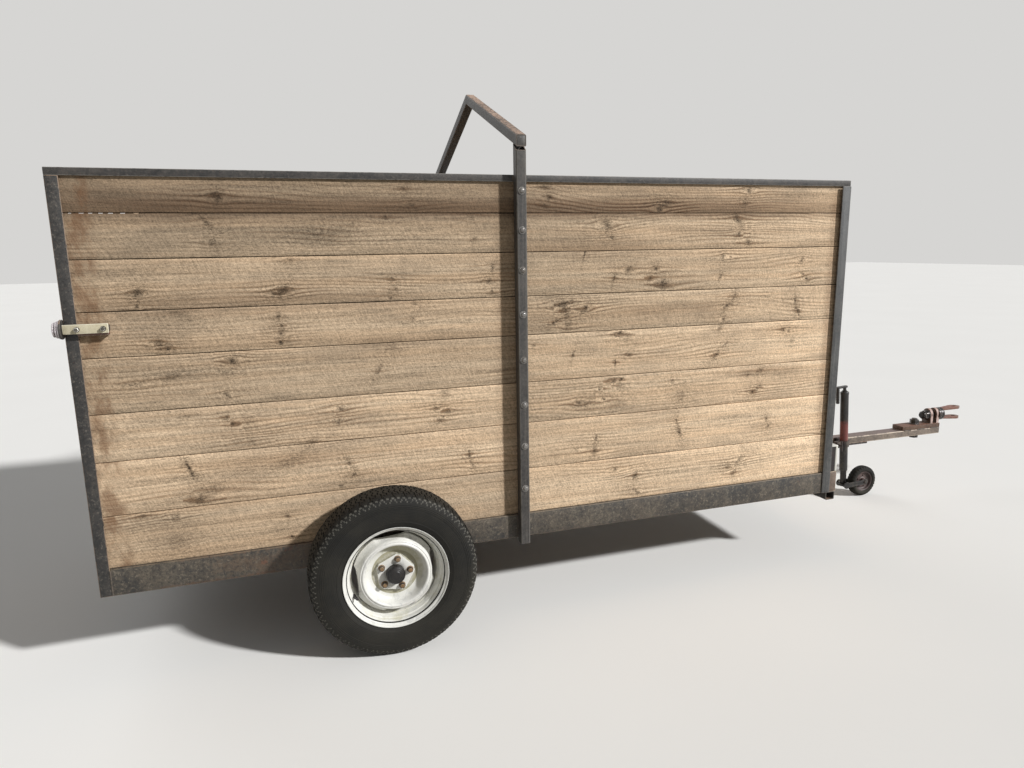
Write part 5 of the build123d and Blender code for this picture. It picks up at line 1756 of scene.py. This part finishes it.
@dataclass
class JockeyStand(SubAssembly):
    """Stand tube with its cap, crank, small treaded wheel and axle nuts."""

    at: Point = (1.40675, -0.086, 0.335)
    tilt: float = 4.0
    hub: Point = (JOCKEY_CENTRE[0], -0.086, JOCKEY_CENTRE[1])
    arm_out: float = 0.034
    # Radius inside which a piece is drawn in, share of the radius that is kept
    ring_slim: tuple[float, float] = (0.0388, 0.75)
    sleeve_slim: tuple[float, float] = (0.0270, 0.72)

    def place(self) -> Matrix:
        """Matrix from the stand's own axis, with Z up it."""
        return Matrix.Translation(self.at) @ Matrix.Rotation(math.radians(-self.tilt), 4, "Y")

    def tube(self) -> BMesh:
        """Stand tube with a rolled foot ring and a pressed cap.

        Returns:
            Its mesh.
        """
        profile = (
            # radius, height
            (0, 290), (19.5, 290), (19.5, -148), (18, -150), (18, -164.6), (21.6, -165), (22.5, -163.2),
            (22.5, -153.5), (22.4, -151.5), (22.4, 293), (23.4, 294.5), (23.6, 306), (22.6, 309),
            (20.5, 310.8), (16, 311.2), (15, 311.9), (0, 311.9),
        )
        bm = lathe(profile, 64)
        bm.transform(self.place())
        return bm

    def slimmed(self, node: str, within: float, slim: float) -> BMesh:
        """A copy of a CAD piece whose rings round the stand's axis are drawn in to the slim tube.

        Args:
            node: the CAD node.
            within: radius inside which the piece is drawn in.
            slim: share of the radius that is kept.
        Returns:
            The copy.
        """
        bm = copy_of(node)
        place = self.place()
        bm.transform(place.inverted())
        for vert in bm.verts:
            if vert.co.xy.length < within:
                draw_in(vert, slim)
        bm.transform(place)
        bevel_sharp(bm, 0.0012, angle=50.0)
        return bm

    def crank(self) -> BMesh:
        """Crank arm on the spindle's neck, with a ribbed grip.

        Returns:
            Its mesh.
        """
        whole = bmesh.new()
        neck = (
            # radius, height
            (0, 312.1), (13, 312.1), (13, 318), (9, 320), (9, 340), (0, 340),
        )
        join_into(whole, lathe(neck, 32), self.place())
        arm = bar((-0.0600, -0.0120, 0.3360), (0.0160, 0.0120, 0.3455))
        bevel(arm, [e for e in arm.edges if abs(e.verts[0].co.z - e.verts[1].co.z) > 0.005], 0.0095, 5)
        bevel_sharp(arm, 0.0012, angle=60.0)
        join_into(whole, arm, self.place())
        profile = [(0, 246.2), (7, 246.2), (9.5, 248.5)]
        for rib in range(8):
            low = 251 + rib * 9.8
            profile += [(9.9, low), (9.9, low + 6.8), (8.6, low + 7.6), (8.6, low + 9)]
        profile += [(9.5, 331), (8, 336.5), (0, 336.5)]
        join_into(whole, lathe(profile, 32), self.place() @ Matrix.Translation((-0.0480, 0, 0)))
        return whole

    def wheel_place(self) -> Matrix:
        """Matrix from the small wheel's own axes: Z along its axle."""
        return Matrix.Translation(self.hub) @ Matrix.Rotation(math.radians(90), 4, "X")

    def tyre(self) -> BMesh:
        """Small tyre with ribs and cut shoulders.

        Returns:
            Its mesh.
        """
        half = (
            # half width, radius
            (19.8, 60.2), (22.5, 62.2), (24.6, 66.5), (24.9, 72), (24, 77.5), (23.6, 78), (22.2, 82.5),
            (19, 86.5), (15, 88.8), (12, 89.3), (11.5, 87.2), (8.5, 87.2), (8, 89.7), (2.4, 90),
            (2, 87.6),
        )
        profile = both_flanks(half)
        steps, depth = 90, 0.0028
        bm = lathe([*profile, profile[0]], steps)
        cuts = []
        for face in bm.faces:
            centre = face.calc_center_median()
            radius, turn = polar(centre)
            if 0.0775 < radius < 0.0892 and abs(centre.z) > 0.0120 and int(turn % 1.0 * steps) % 3 == 0:
                cuts.append(face)

        def inward(place: Vector) -> Vector:
            """Way from a cut's edge to its floor."""
            way = Vector((place.x, place.y, 0.0)).normalized()
            return (way + Vector((0, 0, math.copysign(0.6, place.z)))).normalized() * -depth

        push(bm, cuts, inward)
        bm.transform(self.wheel_place())
        return bm

    def centre(self) -> BMesh:
        """Pressed wheel centre with its hub and five small bolts.

        Returns:
            Its mesh.
        """
        half = (
            # offset from the middle plane, radius
            (-25, 8.2), (-25, 15), (-22.5, 17.6), (-10, 19), (-6.5, 24), (-6, 44), (-9, 49), (-18, 53),
            (-20, 56), (-20, 59.6),
        )
        profile = both_flanks(half)
        whole = bmesh.new()
        join_into(whole, lathe([*profile, profile[0]], 64), self.wheel_place())
        for side in (-1, 1):
            for i in range(5):
                angle = math.radians(72 * i + 10)
                spot = Matrix.Translation((0.034 * math.cos(angle), 0.034 * math.sin(angle), side * 0.0061))
                turn = Matrix.Identity(4) if side > 0 else Matrix.Rotation(math.pi, 4, "X")
                join_into(whole, hex_head(0.0090, 0.0045), self.wheel_place() @ spot @ turn)
        return whole

    def axle_nuts(self) -> BMesh:
        """Nuts on the ends of the small wheel's axle.

        Returns:
            Its mesh.
        """
        whole = bmesh.new()
        for side in (-1, 1):
            at = (self.hub[0], self.hub[1] + side * self.arm_out, self.hub[2])
            join_into(whole, hex_head(0.0220, 0.0049), facing((0, side, 0), at))
        return whole

    def build(self) -> None:
        """Build the stand's pieces."""
        self.stand_in("jockey_tube_capped", self.tube(), "jockey_tube")
        self.stand_in("jockey_crank_handle", self.crank(), "jockey_crank", 30.0)
        self.stand_in("jockey_clamp_ring", self.slimmed("jockey_clamp", *self.ring_slim), "jockey_clamp")
        self.stand_in("jockey_stem_sleeve", self.slimmed("jockey_stem", *self.sleeve_slim), "jockey_stem")
        self.stand_in("jockey_tyre_ribbed", self.tyre(), "jockey_tyre")
        self.stand_in("jockey_wheel_disc", self.centre(), "jockey_wheel_centre")
        self.add("jockey_axle_nuts", self.axle_nuts(), BARE_STEEL, "jockey_fork")


# Road wheels


@dataclass
class RoadWheel(SubAssembly):
    """One road wheel: treaded tyre, pressed disc, bolts, valve and grease cap."""

    side: int = -1
    wall: float = 0.67
    middle: float = 0.124
    pitches: int = 48
    per_pitch: int = 8
    groove: float = 0.0030
    crown: float = 0.3095
    shoulder: float = 0.306
    zigzag: tuple[float, ...] = (0.0, 0.35, 0.8, 1.0, 0.8, 0.35, 0.0, -0.2)
    zigzag_zone: tuple[float, float] = (0.02, 0.055)
    zigzag_reach: float = 0.006
    cut_start: float = 0.2870
    shoulder_cuts: tuple[tuple[float, Sequence[int]], ...] = (
        # radius below which these columns of a pitch are cut
        (0.2930, (3, 4)), (0.2995, (2, 3, 4, 5)), (0.3045, (1, 2, 5, 6)),
    )
    tread_cuts: tuple[tuple[float, Sequence[int]], ...] = (
        # distance from the middle beyond which these columns of a pitch are cut
        (0.0605, (0, 1, 6, 7)), (0.0505, (0, 7)), (0.0468, range(8)), (0.0297, (3, 7)),
        (0.0247, range(8)), (0.0082, (1, 5)), (-1.0, (0, 4)),
    )
    bolt_start: float = 79.0
    bolt_circle: float = 0.056
    valve_angle: float = 203.0
    pad_edge: float = 0.0690
    pad_zone: tuple[float, float] = (0.0655, 0.0785)
    pad_corner: float = 0.079
    window_start: float = 5.0
    window_half: float = 22.0
    window_depth: float = 0.0165
    window_foot: float = 0.1375
    flange: float = 0.1540

    def label(self) -> str:
        """Name of the side."""
        return "right" if self.side < 0 else "left"

    def place(self) -> Matrix:
        """Place the wheel's own axes.

        Returns:
            Their matrix; Z points outward from the wall face and X forward.
        """
        x, z = WHEEL_CENTRE
        at = Matrix.Translation((x, -self.wall, z)) @ Matrix.Rotation(math.radians(90), 4, "X")
        if self.side > 0:
            at = Matrix.Scale(-1, 4, (0, 1, 0)) @ at
        return at

    def tyre(self) -> BMesh:
        """Tyre with a cut tread; heights are measured outward from the wall face.

        Returns:
            Its mesh.
        """
        outside = (
            # axial offset from the middle plane, radius
            (69, 178.5), (72.2, 187), (75.8, 194.5), (80, 203), (83, 210.5), (83.5, 211.2), (84.5, 216),
            (83.8, 217.2), (85.1, 223), (85.7, 232), (86, 244), (85.7, 256), (85.2, 261.5), (84.3, 262.2),
            (84.3, 264), (85, 264.8), (84.6, 268), (83.6, 268.7), (83.6, 270.5), (84.2, 271.3),
            (83.4, 274.5), (82.3, 275.2), (82.1, 277), (82.6, 277.8), (81.2, 283), (79.8, 287), (78, 293),
            (74, 300), (68, 305), (60, 308.6), (52, 310.6), (47, 311.2), (30, 312.2), (25, 312.3),
            (8, 312.5),
        )
        inside = ((-63, 179), (-76, 212), (-60, 286))
        middle = self.middle / MM
        profile = both_flanks(outside, middle) + both_flanks(inside, middle)
        columns = self.pitches * self.per_pitch
        near, far = self.zigzag_zone
        bm = lathe([*profile, profile[0]], columns)
        for vert in bm.verts:
            radius, turn = polar(vert.co)
            if radius >= self.crown and near < abs(vert.co.z - self.middle) < far:
                column = round(turn * columns) % self.per_pitch
                vert.co.z += (self.zigzag[column] - 0.4) * self.zigzag_reach
        sunk = push(bm, [face for face in bm.faces if self.is_groove(face)], self.sink)
        raised = set(bm.faces)
        rims = {edge for face in sunk for edge in face.edges}
        walls = {face for edge in rims for face in edge.link_faces}
        mark_edge_faces(
            bm,
            lambda f: f in raised and f not in walls and 0.287 < f.calc_center_median().xy.length < 0.3065
            and any(other in walls for e in f.edges for other in e.link_faces),
            0.75,
        )
        return bm

    def is_groove(self, face: BMFace) -> bool:
        """Whether a face of the plain tyre is cut out.

        Args:
            face: the face.
        Returns:
            Whether it lies in a groove of the tread or the shoulder.
        """
        centre = face.calc_center_median()
        radius, turn = polar(centre)
        offset = abs(centre.z - self.middle)
        column = math.floor(turn * self.pitches * self.per_pitch) % self.per_pitch
        if radius < self.cut_start:
            return False
        shoulder = (cut for limit, cut in self.shoulder_cuts if radius < limit)
        tread = (cut for limit, cut in self.tread_cuts if offset > limit)
        return column in (next(shoulder, None) or next(tread))

    def sink(self, place: Vector) -> Vector:
        """Way from the tread's face to a groove's floor.

        Args:
            place: a place on the face.
        Returns:
            The way, which leans inwards on the shoulders.
        """
        radius, _ = polar(place)
        lean = 0.0 if radius > self.shoulder else min((self.shoulder - radius) / 0.03, 1.0)
        way = Vector((place.x, place.y, 0.0)).normalized() * (1.0 - 0.8 * lean)
        way.z = math.copysign(0.75 * lean, place.z - self.middle)
        depth = self.groove * (0.4 if radius < 0.302 else 0.6 if radius < 0.3075 else 1.0)
        return way.normalized() * -depth

    def pentagon(self, angle: float, corner: float) -> float:
        """Radius of the rounded pentagon pad.

        Args:
            angle: angle in degrees.
            corner: radius of its corners.
        Returns:
            The radius at the angle.
        """
        turn = (angle - self.bolt_start + 36.0) % 72.0 - 36.0
        flat = corner * math.cos(math.radians(36.0))
        reach = flat / math.cos(math.radians(36.0 - abs(turn)))
        return min(reach, corner * (0.90 + 0.0008 * turn * turn))

    def window(self, angle: float, radius: float) -> float:
        """Radius to which the disc's flange is drawn in beside an opening.

        Args:
            angle: angle in degrees.
            radius: radius of the plain flange.
        Returns:
            The radius.
        """
        turn = (angle - self.window_start + 45.0) % 90.0 - 45.0
        away = max(0.0, 1.0 - (turn / self.window_half) ** 2)
        edge = self.flange - self.window_depth * away ** 0.62
        start = min(self.window_foot, edge - 0.003)
        return start + (radius - self.window_foot) / (self.flange - self.window_foot) * (edge - start)

    def disc(self) -> BMesh:
        """Pressed wheel disc with its raised pad, two crests and crescent openings.

        Returns:
            Its mesh.
        """
        profile = (
            # radius, height: the pad, the floor round it, the crests and the flange
            (33.5, 158), (36, 160), (50, 160), (66, 160), (69, 159.4), (72, 151.4), (76, 149.8),
            (86, 149.5), (95, 150.5), (101, 153), (106, 158), (110, 168), (114, 179), (117, 183.5),
            (120.5, 185.2), (123.5, 184.6), (125.5, 182.2), (127, 181.2), (130, 182), (132.5, 180.6),
            (136, 173.5), (140, 165), (143, 162.2), (148, 156), (154, 151), (154, 132),
        )
        bm = lathe(profile, 180)
        for vert in bm.verts:
            radius, turn = polar(vert.co)
            if self.pad_zone[0] < radius < self.pad_zone[1]:
                corner = self.pad_corner + (radius - self.pad_edge) * 0.7
                draw_in(vert, self.pentagon(turn * 360.0, corner) / radius)
            elif radius >= self.window_foot:
                draw_in(vert, self.window(turn * 360.0, radius) / radius)
        # The floor round the pad's foot is marked as a crevice, which the enamel darkens with dirt and
        # painted shade
        foot = {v for v in bm.verts if 0.1497 < v.co.z < 0.1516 and v.co.xy.length < 0.0835}
        mark_edge_faces(
            bm,
            lambda f: sum(v in foot for v in f.verts) >= 2 and f.calc_center_median().xy.length < 0.083,
        )
        bmesh.ops.recalc_face_normals(bm, faces=bm.faces)
        bmesh.ops.solidify(bm, geom=bm.faces, thickness=0.0035)
        return bm

    def rim_band(self) -> BMesh:
        """Drop-centre band of the rim.

        Returns:
            Its mesh.
        """
        outer, inner = 205, 43
        outer_half = (
            # radius, distance in from the outer lip
            (193.5, 3), (195, 1.2), (194.7, 0), (192.8, 0.2), (190.5, 3), (189.7, 6.2), (188, 7),
            (184.2, 7.8), (181.8, 10.5), (181.2, 15), (179, 16.8), (176.8, 18.5), (175.8, 21.5),
            (175.2, 32), (174, 33.8), (170.5, 35), (169, 38.5), (164, 56), (160, 58), (158.5, 69),
            (157.5, 74),
        )
        inner_half = (
            # radius, distance out from the inner lip
            (157.5, 48), (159, 44), (174, 35), (176, 30), (176.5, 14), (180, 10), (190, 5), (194.5, 0.5),
            (195, 0.2),
        )
        profile = [(r, outer - h) for r, h in outer_half] + [(r, inner + h) for r, h in inner_half]
        bm = lathe(profile, 144)
        # The rim's steps are marked lightly as crevices, darkened with dirt and painted shade
        steps = (0.0160, 0.0330, 0.0570)
        mark_edge_faces(
            bm,
            lambda f: any(abs(outer * MM - f.calc_center_median().z - step) < 0.0011 for step in steps),
            0.3,
        )
        bmesh.ops.recalc_face_normals(bm, faces=bm.faces)
        bmesh.ops.solidify(bm, geom=bm.faces, thickness=0.0014)
        return bm

    def bolts(self) -> BMesh:
        """Five hexagon bolts on conical seats.

        Returns:
            Its mesh.
        """
        whole = bmesh.new()
        for i in range(5):
            angle = math.radians(self.bolt_start + 72.0 * i)
            x, y = self.bolt_circle * math.cos(angle), self.bolt_circle * math.sin(angle)
            seat = lathe(((0, 0), (12.8, 0), (12.4, 2.2), (10.4, 3.8), (0, 4)), 24)
            join_into(whole, seat, Matrix.Translation((x, y, 0.1599)))
            turn = Matrix.Rotation(angle + 0.3 * i, 4, "Z")
            join_into(whole, hex_head(0.0172, 0.0125, 0.0014), Matrix.Translation((x, y, 0.1600)) @ turn)
        return whole

    def cap(self) -> BMesh:
        """Domed grease cap with stepped rings.

        Returns:
            Its mesh.
        """
        base = 165.5
        profile = (
            # radius, height above the cap's foot
            (0, 0), (34.5, 0), (35, 4), (34.8, 16), (33.8, 19), (32.2, 20), (31.4, 19), (29.6, 18.8),
            (29, 20.5), (27.2, 21.2), (24, 21.4), (23.4, 22.8), (20.5, 23.4), (17.5, 23.6), (17, 25),
            (11, 25.6), (0, 25.8),
        )
        return lathe([(r, base + h) for r, h in profile], 48, 0.6)

    def valve(self) -> BMesh:
        """Rubber valve stem with its cap, leaning out of the rim's well.

        Returns:
            Its mesh.
        """
        profile = (
            # radius, height
            (0, 0), (8.5, 0), (8.5, 5), (6.2, 9), (5.2, 26), (4.6, 26.2), (4.6, 30), (5.1, 30.2),
            (5.1, 41), (3.5, 42.5), (0, 42.7),
        )
        bm = lathe(profile, 20)
        cos, sin = math.cos(math.radians(self.valve_angle)), math.sin(math.radians(self.valve_angle))
        bm.transform(facing((-0.28 * cos, -0.28 * sin, 1.0), (0.1690 * cos, 0.1690 * sin, 0.158)))
        return bm

    def build(self) -> None:
        """Build the wheel's pieces."""
        label, place = self.label(), self.place()
        tyre = self.tyre()
        tyre.transform(place)
        self.stand_in(f"tyre_{label}_treaded", tyre, f"tyre_{label}", 30.0)
        rim = bmesh.new()
        join_into(rim, self.disc(), place)
        join_into(rim, self.rim_band(), place)
        self.stand_in(f"rim_{label}_pressed", rim, f"rim_{label}", 40.0)
        cap_node = f"hub_cap_{label}"
        for name, bm, finish, node in (
            ("wheel_bolts", self.bolts(), WHEEL_BOLT, f"hub_{label}"),
            ("grease_cap", self.cap(), CAP_PLASTIC, cap_node),
            ("valve", self.valve(), CAP_PLASTIC, cap_node),
        ):
            bm.transform(place)
            self.add(f"{name}_{label}", bm, finish, node, name == "grease_cap")


# Studio


@dataclass
class Studio:
    """Pale floor, plain light and the photograph's camera."""

    position: Point = (-1.66625, -3.2885, 1.492)
    yaw: float = 17.91
    pitch: float = 10.96
    roll: float = -0.88
    lens: float = 24.82
    sun_from: Point = (1.15, -1.0, 0.95)
    sun_strength: float = 3.75
    sun_spread: float = 4.0
    fill_from: Point = (-0.5, 1.0, 0.6)
    fill_strength: float = 0.55
    fill_spread: float = 40.0
    sky: float = 0.16
    backdrop: Colour = (214, 213, 211)
    bounce: Colour = (172, 170, 164)
    floor_tones: tuple[Colour, Colour] = ((241, 240, 237), (246, 245, 242))
    floor_half: float = 40.0

    def camera(self) -> None:
        """Place the camera."""
        yaw, pitch, roll = (math.radians(a) for a in (self.yaw, self.pitch, self.roll))
        ahead = Vector(
            (math.sin(yaw) * math.cos(pitch), math.cos(yaw) * math.cos(pitch), -math.sin(pitch))
        )
        right = Vector((math.cos(yaw), -math.sin(yaw), 0.0))
        up = right.cross(ahead)
        right_rolled = right * math.cos(roll) + up * math.sin(roll)
        up_rolled = up * math.cos(roll) - right * math.sin(roll)
        turn = Matrix((right_rolled, up_rolled, -ahead)).transposed().to_4x4()
        data = bpy.data.cameras.new("photo_camera")
        data.sensor_fit = "HORIZONTAL"
        data.sensor_width = 36.0
        data.lens = self.lens
        data.clip_end = 200.0
        camera = bpy.data.objects.new("photo_camera", data)
        camera.matrix_world = Matrix.Translation(self.position) @ turn
        bpy.context.scene.collection.objects.link(camera)
        bpy.context.scene.camera = camera

    @staticmethod
    def seen(g: Graph) -> Val:
        """Find what the camera sees directly, in a reflection or through glass.

        Args:
            g: the graph.
        Returns:
            1 for such rays.
        """
        rays = ("Is Camera Ray", "Is Glossy Ray", "Is Transmission Ray")
        camera, glossy, through = (g.add("ShaderNodeLightPath", out=ray) for ray in rays)
        return camera.most(glossy).most(through)

    def floor(self) -> None:
        """Lay the plain pale floor."""
        bm = bmesh.new()
        bmesh.ops.create_grid(bm, x_segments=2, y_segments=2, size=self.floor_half)
        mesh = bpy.data.meshes.new("studio_floor")
        bm.to_mesh(mesh)
        bm.free()
        g = Graph(bpy.data.materials.new("studio_floor"))
        colour = g.mix(g.noise(g.coords(), 0.8, 2.0), *self.floor_tones)
        colour = g.mix(self.seen(g), self.bounce, colour)
        mesh.materials.append(g.surface({"Base Color": colour, "Roughness": 0.9}))
        floor = bpy.data.objects.new("studio_floor", mesh)
        bpy.context.scene.collection.objects.link(floor)

    def lights(self) -> None:
        """Hang the key light and the soft fill from behind, and set the world."""
        for name, strength, spread, source in (
            ("key_light", self.sun_strength, self.sun_spread, self.sun_from),
            ("fill_light", self.fill_strength, self.fill_spread, self.fill_from),
        ):
            data = bpy.data.lights.new(name, "SUN")
            data.energy = strength
            data.angle = math.radians(spread)
            light = bpy.data.objects.new(name, data)
            light.rotation_euler = Vector(source).to_track_quat("Z", "Y").to_euler()
            bpy.context.scene.collection.objects.link(light)
        g = Graph(bpy.data.worlds.new("studio_world"))
        bpy.context.scene.world = g.owner
        plain = g.add("ShaderNodeBackground", None, {"Color": (1.0, 1.0, 1.0, 1.0), "Strength": self.sky})
        backdrop = g.add("ShaderNodeBackground", None, {"Color": linear(self.backdrop), "Strength": 1.0})
        both = g.add("ShaderNodeMixShader", None, {0: self.seen(g), 1: plain, 2: backdrop})
        g.add("ShaderNodeOutputWorld", None, {"Surface": both})

    def build(self) -> None:
        """Set the studio up."""
        bpy.context.scene.view_settings.view_transform = "Standard"
        self.camera()
        self.floor()
        self.lights()


def dress_nodes() -> None:
    """Give every CAD node its finish from NODE_FINISH."""
    for node, finish in NODE_FINISH.items():
        mesh = frame["nodes"][node].data
        mesh.materials.clear()
        mesh.materials.append(material_of(finish))


def main() -> None:
    """Build the scene's parts in order."""
    logging.basicConfig(level=logging.INFO, format="%(name)s %(message)s")
    Studio().build()
    dress_nodes()
    Planking().build()
    SteelFrame().build()
    FrontMarkers().build()
    Latch().build()
    Hitch().build()
    JockeyStand().build()
    for side in (-1, 1):
        RoadWheel(side=side).build()


if __name__ == "__main__":
    main()
